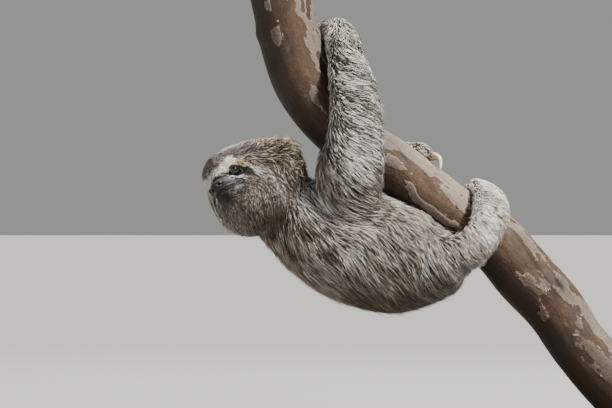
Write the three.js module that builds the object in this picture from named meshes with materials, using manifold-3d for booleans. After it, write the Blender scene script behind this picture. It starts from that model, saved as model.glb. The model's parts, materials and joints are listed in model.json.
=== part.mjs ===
// A young brown-throated three-toed sloth, life size, climbing along the underside of a cut length of
// branch that stands on a plain display stand.
//
// Frame: millimetres, +Z up, origin on the floor under the middle of the stand's base. -X is the way
// the head points, +Y is the far side of the branch, and the animal's back faces down and to -Y.
// The solids follow the outline of the coat, out to the tips of the hair. The body is lofted whole and
// parted by thin cuts, and all neighbours keep GAP between them. The sloth's right side is at -Y.

import * as THREE from "three";
import { mergeVertices } from "three/addons/utils/BufferGeometryUtils.js";
import Module from "manifold-3d";

const wasm = await Module();
wasm.setup();

// ---------------------------------------------------------------- driving dimensions, millimetres
const GAP = 0.4; // clearance between neighbouring solids
const BASE = { length: 460, depth: 260, thick: 18, corner: 16, bevel: 1.5 };
const ROD = { radius: 6, sides: 16, sunk: 10, bite: 13, places: [[187, -12], [187, 12]] };
const EYE = { radius: 5.6, lateral: 18, forward: 31, up: 5 };
const NOSE = { half: [8.4, 5.5, 5.4], place: [0, 48.5, -4] };
const EAR = { half: [7, 12, 13], leftPlace: [55, -19.5, 7], rightPlace: [-46, -17, 3] };
const CLAW = { root: 3.8, tip: 0.9, spacing: 8.4, rings: 6, sides: 6 };

// Middle of the branch, from its upper end to its lower end: x, y, z and radius.
const BRANCH = [
  [-155, 0, 480, 31],
  [-149, 0, 453, 31],
  [-142, 1, 423, 31.5],
  [-131, 1, 390, 31],
  [-116, 0, 365, 29.5],
  [-94, -1, 340, 28.5],
  [-70, -1, 321, 28],
  [-43, 0, 304, 27.5],
  [-5, 0, 275, 27.5],
  [24, 1, 252, 28.5],
  [61, 1, 228, 30],
  [92, 0, 193, 31],
  [121, 0, 161, 30.5],
  [143, -1, 127, 29.5],
  [164, -1, 101, 30],
  [192, 0, 70, 30],
  [204, 0, 56, 30],
];

// ---------------------------------------------------------------- solids and surfaces
function solid(geometry) {
  const bare = geometry.index ? geometry.toNonIndexed() : geometry.clone();
  bare.deleteAttribute("normal");
  bare.deleteAttribute("uv");
  const merged = mergeVertices(bare, 1e-3);
  const vertProperties = merged.attributes.position.array;
  const triVerts = new Uint32Array(merged.index.array);
  return new wasm.Manifold(new wasm.Mesh({ numProp: 3, vertProperties, triVerts }));
}

function surface(manifold) {
  const mesh = manifold.getMesh();
  const geometry = new THREE.BufferGeometry();
  geometry.setAttribute("position", new THREE.BufferAttribute(mesh.vertProperties, 3));
  geometry.setIndex(new THREE.BufferAttribute(mesh.triVerts, 1));
  geometry.computeVertexNormals();
  return geometry;
}

// What is left of a solid after its neighbours are cut away, without stray slivers.
function carve(body, neighbours) {
  const cut = neighbours.reduce((rest, other) => rest.subtract(other), body);
  return cut.decompose().reduce((a, b) => (a.volume() > b.volume() ? a : b));
}

// A closed skin from rings of points that all go round the same way, with a point at each end.
function closedRings(rings, first, last) {
  const sides = rings[0].length;
  const points = [first, ...rings.flat(), last];
  const at = (ring, side) => 1 + ring * sides + (side % sides);
  const faces = [];
  for (let side = 0; side < sides; side++) {
    faces.push(0, at(0, side + 1), at(0, side));
    for (let ring = 0; ring + 1 < rings.length; ring++) {
      const [a, b] = [at(ring, side), at(ring, side + 1)];
      const [c, d] = [at(ring + 1, side), at(ring + 1, side + 1)];
      faces.push(a, b, d, a, d, c);
    }
    faces.push(at(rings.length - 1, side), at(rings.length - 1, side + 1), points.length - 1);
  }
  const geometry = new THREE.BufferGeometry().setFromPoints(points);
  geometry.setIndex(faces);
  return geometry;
}

// ---------------------------------------------------------------- the branch and places on it
const centreOf = (station) => (station[0].isVector3 ? station[0] : new THREE.Vector3(...station.slice(0, 3)));
const branchCurve = new THREE.CatmullRomCurve3(BRANCH.map(centreOf), false, "centripetal");
const branchLength = branchCurve.getLength();
const branchPoints = branchCurve.getSpacedPoints(400);

function branchRadius(along) {
  const place = branchCurve.getUtoTmapping(along / branchLength) * (BRANCH.length - 1);
  const low = Math.min(Math.floor(place), BRANCH.length - 2);
  return THREE.MathUtils.lerp(BRANCH[low][3], BRANCH[low + 1][3], place - low);
}

// A place that holds the branch: how far along it from its upper end, how far round it from its
// upper edge (90 degrees is the far side), and how far off its bark.
function grip(along, degrees, lift) {
  const tangent = branchCurve.getTangentAt(along / branchLength);
  const away = new THREE.Vector3(0, 1, 0);
  const upper = new THREE.Vector3().crossVectors(tangent, away).normalize();
  if (upper.z < 0) upper.negate();
  const turn = THREE.MathUtils.degToRad(degrees);
  const reach = branchRadius(along) + lift;
  return branchCurve
    .getPointAt(along / branchLength)
    .addScaledVector(upper, Math.cos(turn) * reach)
    .addScaledVector(away, Math.sin(turn) * reach);
}

// The way out from the branch at a place, along which a limb's thickness is measured.
function outFromBranch(place) {
  const nearer = (a, b) => (a.distanceToSquared(place) < b.distanceToSquared(place) ? a : b);
  return place.clone().sub(branchPoints.reduce(nearer));
}

// ---------------------------------------------------------------- lofts
// A station is x, y, z (or a grip) with a half width and a half thickness. The thickness lies along
// out(place). ends gives how many stations each end takes to round off, and grow swells the whole.
class Loft {
  constructor(stations, { out, sides, perStation, ends = [0, 0] }) {
    Object.assign(this, { out, sides, ends, last: stations.length - 1 });
    this.centres = new THREE.CatmullRomCurve3(stations.map(centreOf), false, "centripetal");
    const halves = stations.map((station) => new THREE.Vector3(station.at(-2), station.at(-1), 0));
    this.halves = new THREE.CatmullRomCurve3(halves, false, "catmullrom", 0.4);
    const count = Math.round(this.last * perStation);
    this.times = Array.from({ length: count + 1 }, (_, i) => i / count);
    const close = (share) => [share * 0.06, share * 0.35];
    if (ends[0]) this.times.push(...close(ends[0] / this.last));
    if (ends[1]) this.times.push(...close(ends[1] / this.last).map((t) => 1 - t));
    this.times = this.times.filter((t) => this.rounding(t) > 0.05).sort((a, b) => a - b);
  }

  rounding(t) {
    const part = (toEnd, length) => (length ? Math.min((toEnd * this.last) / length, 1) : 1);
    const dome = (share) => Math.sqrt(Math.max(0, 1 - (1 - share) ** 2));
    return dome(part(t, this.ends[0])) * dome(part(1 - t, this.ends[1]));
  }

  frame(t) {
    const centre = this.centres.getPoint(t);
    const tangent = this.centres.getTangent(t);
    const thick = this.out(centre).projectOnPlane(tangent).normalize();
    const wide = new THREE.Vector3().crossVectors(tangent, thick);
    return { centre, tangent, thick, wide, half: this.halves.getPoint(t) };
  }

  ring(t, grow) {
    const { centre, thick, wide, half } = this.frame(t);
    const shrink = this.rounding(t);
    return Array.from({ length: this.sides }, (_, k) => {
      const angle = (2 * Math.PI * k) / this.sides;
      return centre
        .clone()
        .addScaledVector(wide, Math.cos(angle) * (half.x * shrink + grow))
        .addScaledVector(thick, -Math.sin(angle) * (half.y * shrink + grow));
    });
  }

  solid(grow = 0) {
    const rings = this.times.map((t) => this.ring(t, grow));
    const [start, end] = [this.frame(0), this.frame(1)];
    rings[0].forEach((point) => point.addScaledVector(start.tangent, -grow));
    rings.at(-1).forEach((point) => point.addScaledVector(end.tangent, grow));
    start.centre.addScaledVector(start.tangent, -grow);
    end.centre.addScaledVector(end.tangent, grow);
    return solid(closedRings(rings, start.centre, end.centre));
  }

  // The loft without what its neighbours take, parted by a thin disc across it at each cut.
  parts(names, cuts, neighbours) {
    let body = this.solid();
    for (const other of neighbours) body = body.subtract(other);
    for (const cut of cuts) {
      const { centre, tangent, half } = this.frame(cut / this.last);
      const disc = new THREE.CylinderGeometry(half.x * 1.35, half.x * 1.35, GAP, 24);
      disc.applyQuaternion(new THREE.Quaternion().setFromUnitVectors(new THREE.Vector3(0, 1, 0), tangent));
      body = body.subtract(solid(disc.translate(...centre)));
    }
    const pieces = body.decompose().sort((a, b) => b.volume() - a.volume()).slice(0, names.length);
    pieces.sort((a, b) => this.placeOf(a) - this.placeOf(b));
    names.forEach((name, i) => nodes.set(name, pieces[i]));
  }

  // Where along the loft the middle of a piece of it lies, from 0 to 1.
  placeOf(piece) {
    const { min, max } = piece.boundingBox();
    const middle = new THREE.Vector3(...min).add(new THREE.Vector3(...max)).divideScalar(2);
    const distance = (t) => this.centres.getPoint(t).distanceTo(middle);
    return this.times.reduce((a, b) => (distance(a) < distance(b) ? a : b));
  }
}

// ---------------------------------------------------------------- head
// The head's own axes from the middle of the skull. The neck is twisted half round, so that the crown
// is uppermost while the body hangs back down.
const HEAD = {
  middle: new THREE.Vector3(-184.5, -30, 280),
  left: new THREE.Vector3(0.603, -0.436, 0.667),
  forward: new THREE.Vector3(-0.669, -0.733, 0.126),
  up: new THREE.Vector3(-0.434, 0.521, 0.733),
  rings: 17,
  sides: 22,
  blend: 0.42, // sharpness of the joins between its masses, per millimetre
  socket: { depth: 4.5, spread: 0.2 },
};

// The masses of the head as ellipsoids: middle and half sizes, each as left, forward, up.
const HEAD_MASSES = {
  cranium: [[0, -6, 6.5], [48.5, 38, 47]],
  brow: [[0, 17, 15.5], [29, 29.5, 28.5]],
  face: [[0, 8, -4], [34, 31, 35]],
  cheeks: [[0, 2, -16], [38, 35, 33]],
  muzzle: [[0, 33, -8], [14, 18, 11.5]],
  maneLeft: [[30, -18.5, 5], [31, 28, 32]],
  maneRight: [[-24, -18, 0], [25, 24, 27]],
};

function headPoint(left, forward, up) {
  return HEAD.middle
    .clone()
    .addScaledVector(HEAD.left, left)
    .addScaledVector(HEAD.forward, forward)
    .addScaledVector(HEAD.up, up);
}

// How far a ray from the head's middle goes before it leaves one ellipsoid.
function reachOf(ray, [middle, half]) {
  const size = new THREE.Vector3(...half);
  const m = new THREE.Vector3(...middle).divide(size);
  const d = ray.clone().divide(size);
  const [a, b, c] = [d.dot(d), -d.dot(m), m.dot(m) - 1];
  const inside = b * b - a * c;
  return inside > 0 ? (Math.sqrt(inside) - b) / a : 0;
}

function headReach(ray) {
  const shares = Object.values(HEAD_MASSES).map((mass) => Math.exp(HEAD.blend * reachOf(ray, mass)));
  const socket = (side) => {
    const eye = new THREE.Vector3(side * EYE.lateral, EYE.forward, EYE.up).normalize();
    return HEAD.socket.depth * Math.exp(-((ray.angleTo(eye) / HEAD.socket.spread) ** 2));
  };
  return Math.log(shares.reduce((a, b) => a + b)) / HEAD.blend - socket(1) - socket(-1);
}

function headSolid(grow = 0) {
  const reach = (left, forward, up) => {
    const length = headReach(new THREE.Vector3(left, forward, up)) + grow;
    return headPoint(left * length, forward * length, up * length);
  };
  const rings = [];
  for (let i = 1; i < HEAD.rings; i++) {
    const tilt = (Math.PI * i) / HEAD.rings;
    const ring = Array.from({ length: HEAD.sides }, (_, k) => {
      const turn = (2 * Math.PI * k) / HEAD.sides;
      return reach(Math.sin(tilt) * Math.sin(turn), Math.cos(tilt), Math.sin(tilt) * Math.cos(turn));
    });
    rings.push(ring);
  }
  return solid(closedRings(rings, reach(0, 1, 0), reach(0, -1, 0)));
}

// An ellipsoid set in the head's own axes.
function headEgg([left, forward, up], half, detail, grow = 0) {
  const egg = new THREE.IcosahedronGeometry(1, detail);
  egg.scale(half[1] + grow, half[0] + grow, half[2] + grow);
  const turn = new THREE.Matrix4().makeBasis(HEAD.forward, HEAD.left, HEAD.up);
  turn.setPosition(headPoint(left, forward, up));
  return solid(egg.applyMatrix4(turn));
}

// ---------------------------------------------------------------- body stations
// Neck and trunk: x, y, z, half depth, half height.
const SPINE = [
  [-166, -18, 266, 34, 34],
  [-144, -15, 256, 40, 43],
  [-124, -13, 246, 46, 52],
  [-104, -12, 235, 51, 57],
  [-79, -12, 224, 54, 60],
  [-53, -12, 216, 56, 60],
  [-24, -11, 211, 54, 57],
  [2, -9, 207, 47, 44],
  [21, -7, 204, 37, 31],
  [36, -6, 202, 30, 26],
];
const NECK_END = 2.2;

const LIMBS = {
  right_arm: {
    names: ["upper_arm_right", "forearm_right", "hand_right"],
    cuts: [2.9, 5.3],
    stations: [
      [-84, -36, 258, 32, 26],
      [-86, -50, 284, 36, 26],
      [-81, -54, 316, 33, 25],
      [-78, -49, 352, 29, 24],
      [-82, -34, 384, 27, 22],
      [-86, -22, 404, 26, 20.5],
      [grip(62, -4, 18.5), 20, 18],
      [grip(58, 33, 16), 18, 15],
      [grip(58, 66, 11), 15, 10.5],
      [grip(60, 93, 8.5), 12.5, 7],
    ],
  },
  left_arm: {
    names: ["upper_arm_left", "forearm_left", "hand_left"],
    cuts: [3, 5.6],
    stations: [
      [-92, 18, 246, 28, 26],
      [-96, 34, 276, 25, 24],
      [-98, 46, 300, 23, 22],
      [-93, 52, 322, 21, 20],
      [-74, 52, 335, 18.5, 17],
      [grip(207, 86, 17), 16, 14.5],
      [grip(225, 62, 13), 13.5, 11],
      [grip(234, 37, 10), 12, 8.5],
      [grip(242, 14, 6.5), 11, 6.5],
    ],
  },
  right_leg: {
    names: ["thigh_right", "shank_right", "foot_right"],
    cuts: [1.9, 3.8],
    stations: [
      [-10, -30, 197, 34, 30],
      [13, -42, 210, 26, 24],
      [33, -48, 221, 21, 20],
      [47, -50, 235, 19, 18],
      [grip(331, -68, 16), 18.5, 15],
      [grip(323, -40, 12), 18.5, 12],
      [grip(315, -6, 9.5), 18.5, 9.5],
      [grip(308, 28, 9), 17, 8.5],
      [grip(303, 60, 8), 15, 8],
      [grip(300, 90, 7), 12.5, 6.5],
    ],
  },
  left_leg: {
    names: ["thigh_left", "shank_left", "foot_left"],
    cuts: [1.9, 3.7],
    stations: [
      [-10, 10, 206, 30, 28],
      [9, 32, 212, 24, 22],
      [27, 48, 218, 19, 18],
      [43, 55, 224, 16.5, 15.5],
      [grip(350, 99, 18), 15.5, 14],
      [grip(362, 85, 12), 14, 10.5],
      [grip(371, 71, 8), 12, 6.5],
    ],
  },
};
const TAIL = [
  [4, 12, 188, 12, 12],
  [12, 28, 184, 11, 10],
  [16, 46, 186, 8, 7.5],
];

// The middle claw of each three: where it starts and where its tip is, each as a grip, and how far it
// arches. The other two lie beside it, spread along or round the branch.
const CLAWS = {
  hand_right: { limb: "right_arm", start: [60, 95, 6.5], tip: [63, 143, 1.6], arch: 2.5, spread: "along" },
  hand_left: { limb: "left_arm", start: [244, 12, 6], tip: [259, -5, 1.2], arch: 5.5, spread: "round" },
  foot_right: { limb: "right_leg", start: [300, 92, 6], tip: [298, 130, 1.6], arch: 2, spread: "along" },
  foot_left: { limb: "left_leg", start: [372, 68, 6], tip: [377, 37, 1.8], arch: 1.2, spread: "along" },
};

// ---------------------------------------------------------------- building the pieces
const nodes = new Map();
const upward = () => new THREE.Vector3(0, 0, 1);

const branchLoft = new Loft(BRANCH.map((station) => [...station, station[3]]), {
  out: () => new THREE.Vector3(0, 1, 0),
  sides: 16,
  perStation: 1.5,
});
const branchRoom = branchLoft.solid(GAP);

const eggs = {
  nose: [NOSE.place, NOSE.half, 1],
  eye_left: [[EYE.lateral, EYE.forward, EYE.up], Array(3).fill(EYE.radius), 2],
  eye_right: [[-EYE.lateral, EYE.forward, EYE.up], Array(3).fill(EYE.radius), 2],
  ear_left: [EAR.leftPlace, EAR.half, 1],
  ear_right: [EAR.rightPlace, EAR.half, 1],
};
const eggRooms = Object.values(eggs).map((egg) => headEgg(...egg, GAP));
nodes.set("head", carve(headSolid(), eggRooms));
for (const [name, egg] of Object.entries(eggs)) nodes.set(name, headEgg(...egg));

const headRoom = eggRooms.reduce((room, egg) => room.add(egg), headSolid(GAP));
const spineLoft = new Loft(SPINE, { out: upward, sides: 20, perStation: 1.7, ends: [0, 1.1] });
spineLoft.parts(["neck", "trunk"], [NECK_END], [headRoom, branchRoom]);

let taken = [headRoom, branchRoom, spineLoft.solid(GAP)];
const limbRooms = {};
for (const [limb, { stations, names, cuts }] of Object.entries(LIMBS)) {
  const loft = new Loft(stations, { out: outFromBranch, sides: 12, perStation: 2, ends: [0, 0.8] });
  loft.parts(names, cuts, taken);
  limbRooms[limb] = loft.solid(GAP);
  taken = [...taken, limbRooms[limb]];
}
const tailLoft = new Loft(TAIL, { out: upward, sides: 12, perStation: 3, ends: [0, 0.8] });
nodes.set("tail", carve(tailLoft.solid(), taken));

for (const [name, { limb, start, tip, arch, spread }] of Object.entries(CLAWS)) {
  [-1, 0, 1].forEach((beside, i) => {
    const stations = Array.from({ length: CLAW.rings }, (_, ring) => {
      const t = ring / (CLAW.rings - 1);
      const [along, round, lift] = start.map((from, axis) => THREE.MathUtils.lerp(from, tip[axis], t));
      const aside = beside * CLAW.spacing * (1 - 0.12 * t);
      const turned = THREE.MathUtils.radToDeg(aside / branchRadius(along));
      const raised = lift + arch * Math.sin(Math.PI * t) ** 1.2;
      const place = spread === "along" ? grip(along + aside, round, raised) : grip(along, round + turned, raised);
      const half = THREE.MathUtils.lerp(CLAW.root, CLAW.tip, t ** 1.3);
      return [place, half, half * 0.85];
    });
    const claw = new Loft(stations, { out: outFromBranch, sides: CLAW.sides, perStation: 1 });
    nodes.set(`claw_${name}_${i + 1}`, carve(claw.solid(), [branchRoom, limbRooms[limb]]));
  });
}

// ---------------------------------------------------------------- display stand
function baseSolid() {
  const { length, depth, thick, corner, bevel } = BASE;
  const r = corner - bevel;
  const [x, y] = [length / 2 - corner, depth / 2 - corner];
  const outline = new THREE.Shape();
  outline.absarc(x, -y, r, -Math.PI / 2, 0);
  outline.absarc(x, y, r, 0, Math.PI / 2);
  outline.absarc(-x, y, r, Math.PI / 2, Math.PI);
  outline.absarc(-x, -y, r, Math.PI, 1.5 * Math.PI);
  const bevels = { bevelEnabled: true, bevelThickness: bevel, bevelSize: bevel, bevelSegments: 1 };
  const slab = new THREE.ExtrudeGeometry(outline, { depth: thick - 2 * bevel, curveSegments: 4, ...bevels });
  return solid(slab.translate(0, 0, bevel));
}

// Each rod stands in a blind hole of the base and ends in a blind hole of the branch.
let bored = branchLoft.solid();
let base = baseSolid();
ROD.places.forEach(([x, y], i) => {
  const foot = BASE.thick - ROD.sunk;
  const above = branchPoints.reduce((a, b) => (Math.abs(a.x - x) < Math.abs(b.x - x) ? a : b));
  const height = above.z - ROD.bite - foot;
  const rod = (grow) => {
    const round = new THREE.CylinderGeometry(ROD.radius + grow, ROD.radius + grow, height + 2 * grow, ROD.sides);
    return solid(round.rotateX(Math.PI / 2).translate(x, y, foot + height / 2));
  };
  nodes.set(`stand_rod_${i + 1}`, rod(0));
  bored = bored.subtract(rod(GAP));
  base = base.subtract(rod(GAP));
});
nodes.set("branch", bored);
nodes.set("stand_base", base);

// ---------------------------------------------------------------- colours and the group
const finish = (color, roughness, metalness = 0) =>
  new THREE.MeshStandardMaterial({ color, roughness, metalness });
const FINISHES = {
  branch: finish(0x6e5646, 0.85),
  stand_base: finish(0x4a4038, 0.6),
  stand_rod: finish(0x9a9c9f, 0.35, 1),
  claw: finish(0xcdbb9b, 0.45),
  eye: finish(0x14100e, 0.08),
  nose: finish(0x34343a, 0.4),
};
const coat = finish(0x84786d, 0.95);

const sloth = new THREE.Group();
for (const [name, body] of nodes) {
  const kind = Object.keys(FINISHES).find((start) => name.startsWith(start));
  const mesh = new THREE.Mesh(surface(body), FINISHES[kind] ?? coat);
  mesh.name = name;
  sloth.add(mesh);
}

export default sloth;
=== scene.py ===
# %% [markdown]
# A young three-toed sloth climbing along the underside of a branch, as a life-size display model.
# The solids from the workshop give every true outline. This script gives each of them its surface:
# one skin for the whole animal, a coat of solid locks over it, eyes, nose, claws, bark and a stand.
# The solids come in first, and everything afterwards is measured from them.

# %% Load the frame
import json
import math

import bmesh
import bpy
import numpy as np
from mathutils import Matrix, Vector, kdtree
from mathutils.bvhtree import BVHTree

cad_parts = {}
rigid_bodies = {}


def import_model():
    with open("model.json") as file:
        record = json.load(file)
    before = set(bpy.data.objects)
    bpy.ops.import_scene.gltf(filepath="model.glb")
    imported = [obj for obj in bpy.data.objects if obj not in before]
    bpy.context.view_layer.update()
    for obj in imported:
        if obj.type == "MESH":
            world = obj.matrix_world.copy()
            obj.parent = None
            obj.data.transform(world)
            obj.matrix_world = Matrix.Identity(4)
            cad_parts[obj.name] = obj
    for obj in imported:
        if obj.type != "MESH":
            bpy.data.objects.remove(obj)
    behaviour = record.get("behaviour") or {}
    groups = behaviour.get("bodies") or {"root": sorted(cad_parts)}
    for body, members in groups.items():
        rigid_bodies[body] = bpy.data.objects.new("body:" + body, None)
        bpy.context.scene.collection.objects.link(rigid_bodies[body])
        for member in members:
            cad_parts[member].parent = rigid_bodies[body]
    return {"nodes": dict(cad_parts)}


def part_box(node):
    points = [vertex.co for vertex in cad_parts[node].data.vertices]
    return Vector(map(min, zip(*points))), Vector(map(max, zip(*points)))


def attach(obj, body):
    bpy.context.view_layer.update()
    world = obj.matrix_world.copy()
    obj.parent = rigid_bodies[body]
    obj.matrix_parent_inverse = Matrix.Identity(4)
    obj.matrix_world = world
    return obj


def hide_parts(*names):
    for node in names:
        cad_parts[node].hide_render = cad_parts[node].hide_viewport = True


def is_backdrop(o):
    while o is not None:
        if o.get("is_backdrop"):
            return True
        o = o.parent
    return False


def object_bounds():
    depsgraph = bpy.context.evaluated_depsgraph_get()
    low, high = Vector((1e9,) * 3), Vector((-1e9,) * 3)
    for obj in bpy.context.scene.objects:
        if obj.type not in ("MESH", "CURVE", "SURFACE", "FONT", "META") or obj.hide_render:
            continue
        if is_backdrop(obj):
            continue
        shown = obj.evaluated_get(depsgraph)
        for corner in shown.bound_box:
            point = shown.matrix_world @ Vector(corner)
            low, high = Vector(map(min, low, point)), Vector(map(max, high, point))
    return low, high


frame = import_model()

cad_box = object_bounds()
MM = 0.001
print("solids:", len(frame["nodes"]), "box:", [tuple(round(c, 3) for c in corner) for corner in cad_box])

# %% [markdown]
# The camera stands far off with a long lens, level with the middle of the animal, as a person with a
# telephoto would. From four metres the near arm and the far side are drawn at almost one scale, so the
# animal keeps its true proportions. The picture is 612 by 408 and covers 612 mm at the branch.

# %% Camera
PICTURE_ACROSS_MM = 612.0
LOOK_AT = Vector((-0.128, 0.0, 0.266))
CAMERA_DISTANCE = 4.0
SENSOR_MM = 36.0

camera_data = bpy.data.cameras.new("camera")
camera_data.sensor_width = SENSOR_MM
camera_data.lens = SENSOR_MM * CAMERA_DISTANCE / (PICTURE_ACROSS_MM * MM)
camera_data.clip_end = 100
camera = bpy.data.objects.new("camera", camera_data)
camera.location = LOOK_AT - Vector((0, CAMERA_DISTANCE, 0))
camera.rotation_euler = (math.radians(90), 0, 0)
bpy.context.scene.collection.objects.link(camera)
bpy.context.scene.camera = camera
print("lens:", round(camera_data.lens), "mm")

# %% [markdown]
# Fur shows its depth only when light rakes along it. One sun-like lamp high on the right gives the
# direction and lights the floor evenly to its edge. A weaker one on the left keeps the shaded side
# readable, and a third behind picks out the hair tips along the outline. The sky fills what is left.

# %% Lamps and sky
MIDDLE = Vector((-0.06, 0.0, 0.24))
SOFT_WHITE = (1.0, 0.98, 0.95)
SUN_WHITE = (1.0, 0.965, 0.91)
SUN_WAY = Vector((-1.5, 1.15, -2.2))
SUN_STRENGTH = 9.6
SUN_DEGREES = 5
SKY_COLOUR = (0.84, 0.835, 0.82, 1)
SKY_STRENGTH = 0.38


def lamp(name, kind, place, way, energy, colour):
    data = bpy.data.lights.new(name, kind)
    data.energy = energy
    data.color = colour
    lit = bpy.data.objects.new(name, data)
    lit.location = place
    lit.rotation_euler = way.to_track_quat("-Z", "Y").to_euler()
    bpy.context.scene.collection.objects.link(lit)
    return data


# name, place, size in metres, watts
for name, place, size, watts in (("fill", (-2.2, -2.2, 1.0), 1.2, 13), ("rim", (0.4, 2.2, 1.9), 1.0, 40)):
    disk = lamp(name, "AREA", place, MIDDLE - Vector(place), watts, SOFT_WHITE)
    disk.shape = "DISK"
    disk.size = size
lamp("key", "SUN", (0, 0, 0), SUN_WAY, SUN_STRENGTH, SUN_WHITE).angle = math.radians(SUN_DEGREES)

sky = bpy.data.worlds.new("studio")
bpy.context.scene.world = sky
sky.use_nodes = True
backdrop = sky.node_tree.nodes["Background"]
backdrop.inputs["Color"].default_value = SKY_COLOUR
backdrop.inputs["Strength"].default_value = SKY_STRENGTH


# %% [markdown]
# Colours are picked as sRGB hex, the way a paint chart gives them, and the shader wants linear light,
# so one function turns one into the other. A second small function adds a node with its settings and
# its links in a single call, which keeps each material short enough to read. A shader that is already
# there takes its inputs through the same rule.

# %% Colour and node helpers
def linear(code):
    parts = [int(code[i:i + 2], 16) / 255 for i in (1, 3, 5)]
    return tuple(c / 12.92 if c <= 0.04045 else ((c + 0.055) / 1.055) ** 2.4 for c in parts)


def rgba(code):
    return (*linear(code), 1)


def give(node, **links):
    """Links or sets a node's inputs, which are named, or numbered as i0, i1 and so on."""
    for key, value in links.items():
        socket = node.inputs[int(key[1:])] if key[1:].isdigit() else node.inputs[key.replace("_", " ")]
        if isinstance(value, bpy.types.NodeSocket):
            node.id_data.links.new(value, socket)
        else:
            socket.default_value = value


def add(tree, kind, settings=None, **links):
    made = tree.nodes.new(kind)
    for key, value in (settings or {}).items():
        setattr(made, key, value)
    give(made, **links)
    return made


def new_material(name, roughness, ior=1.5, **sockets):
    made = bpy.data.materials.new(name)
    made.use_nodes = True
    shader = made.node_tree.nodes["Principled BSDF"]
    give(shader, Roughness=roughness, IOR=ior, **sockets)
    return made, made.node_tree, shader


def set_bands(ramp, bands):
    """Gives a colour ramp its stops: position and sRGB hex."""
    while len(ramp.elements) < len(bands):
        ramp.elements.new(0.5)
    for element, (position, _) in zip(ramp.elements, bands):
        element.position = position
    for element, (_, code) in zip(ramp.elements, bands):
        element.color = rgba(code)


# %% [markdown]
# The floor is only something pale to stand on. It is a plain painted board, wide enough that its edge
# is never seen, and it is marked as stage so that it isn't taken for part of the model.

# %% Floor
FLOOR_HALF = 30.0
floor_mesh = bpy.data.meshes.new("floor")
corners = [(x * FLOOR_HALF, y * FLOOR_HALF, 0) for x, y in ((-1, -1), (1, -1), (1, 1), (-1, 1))]
floor_mesh.from_pydata(corners, [], [(0, 1, 2, 3)])
floor = bpy.data.objects.new("floor", floor_mesh)
bpy.context.scene.collection.objects.link(floor)
floor_paint, tree, shader = new_material("painted_board", 0.85)
paint_grain = add(tree, "ShaderNodeTexNoise", Scale=3.0, Detail=3.0)
paint_tone = add(tree, "ShaderNodeMix", {"data_type": "RGBA"}, i0=paint_grain.outputs["Fac"],
                 i6=rgba("#9c9d9e"), i7=rgba("#a1a2a2"))
give(shader, Base_Color=paint_tone.outputs[2])
floor_mesh.materials.append(floor_paint)
floor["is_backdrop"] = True


# %% [markdown]
# Natural things vary from place to place without repeating. This noise gives a smooth random value,
# from -1 to 1, anywhere in space: a box of fixed random numbers, blended between neighbours. It is
# used for patches in the coat, for the way locks bunch, and for the lumps of the bark.

# %% Smooth noise for arrays of points
CELLS = 64
LATTICE = np.random.default_rng(7).uniform(-1, 1, (CELLS, CELLS, CELLS))


def noise(points, size, shift=0.0):
    """Smooth values for points in metres, changing over about size millimetres."""
    scaled = points / (size * MM) + shift * 17.3 + 1000.0
    cell = np.floor(scaled).astype(int)
    part = scaled - cell
    part = part * part * (3 - 2 * part)
    total = np.zeros(len(points))
    for corner in range(8):
        step = np.array([corner & 1, (corner >> 1) & 1, (corner >> 2) & 1])
        index = (cell + step) % CELLS
        weight = np.prod(np.where(step, part, 1 - part), axis=1)
        total += weight * LATTICE[index[:, 0], index[:, 1], index[:, 2]]
    return total


def smoothstep(low, high, value):
    t = np.clip((value - low) / (high - low), 0, 1)
    return t * t * (3 - 2 * t)


def hump(value, middle, half):
    """1 at the middle, a third at the half width, and fading away past it."""
    return np.exp(-((value - middle) / half) ** 2)


def unit(vectors):
    return vectors / np.maximum(np.linalg.norm(vectors, axis=-1, keepdims=True), 1e-12)


# %% [markdown]
# Mesh helpers. A solid from the workshop is loose triangles, so a copy of it is merged before anything
# is done to it. Arrays come out of a mesh and go into one in single calls, because a coat of some
# hundred thousand locks would take minutes point by point.

# %% Mesh helpers
def read_points(mesh, what="co"):
    flat = np.empty(len(mesh.vertices) * 3)
    mesh.vertices.foreach_get(what, flat)
    return flat.reshape(-1, 3)


def read_normals(mesh):
    return read_points(mesh, "normal")


def write_points(mesh, points):
    mesh.vertices.foreach_set("co", points.ravel())
    mesh.update()


def write_values(mesh, name, values, kind="FLOAT"):
    """Stores one number, or with FLOAT_VECTOR one vector, for each point under a name."""
    layer = mesh.attributes.new(name, kind, "POINT")
    field = "vector" if kind == "FLOAT_VECTOR" else "value"
    layer.data.foreach_set(field, values.astype(np.float32).ravel())


def merged_copy(node):
    source = bpy.data.objects[node].data
    made = bmesh.new()
    made.from_mesh(source)
    bmesh.ops.remove_doubles(made, verts=made.verts, dist=0.001 * MM)
    return made


def new_object(name, mesh):
    made = bpy.data.objects.new(name, mesh)
    bpy.context.scene.collection.objects.link(made)
    return made


def bake_modifiers(piece):
    """Turns a piece and its modifiers into a plain mesh."""
    graph = bpy.context.evaluated_depsgraph_get()
    graph.update()
    plain = bpy.data.meshes.new_from_object(piece.evaluated_get(graph))
    piece.modifiers.clear()
    old = piece.data
    piece.data = plain
    bpy.data.meshes.remove(old)
    plain.name = piece.name


def smooth_shading(mesh):
    mesh.polygons.foreach_set("use_smooth", np.ones(len(mesh.polygons), bool))
    mesh.update()


# %% [markdown]
# The body came in as separate solids with hairline cuts between them, because a model is catalogued
# part by part. A living skin has no seams. So the solids of flesh are copied, swollen by half a
# millimetre so that they overlap, joined, and wrapped by a voxel remesh: a fine grid is laid through
# them and a new surface is drawn round everything inside it. Smoothing then melts the joints.

# %% Wrap the flesh in one surface
FLESH = [
    "head", "neck", "trunk", "tail", "ear_left", "ear_right",
    "upper_arm_right", "forearm_right", "hand_right", "upper_arm_left", "forearm_left", "hand_left",
    "thigh_right", "shank_right", "foot_right", "thigh_left", "shank_left", "foot_left",
]
SWELL = 0.5 * MM
VOXEL = 2.0 * MM

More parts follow.
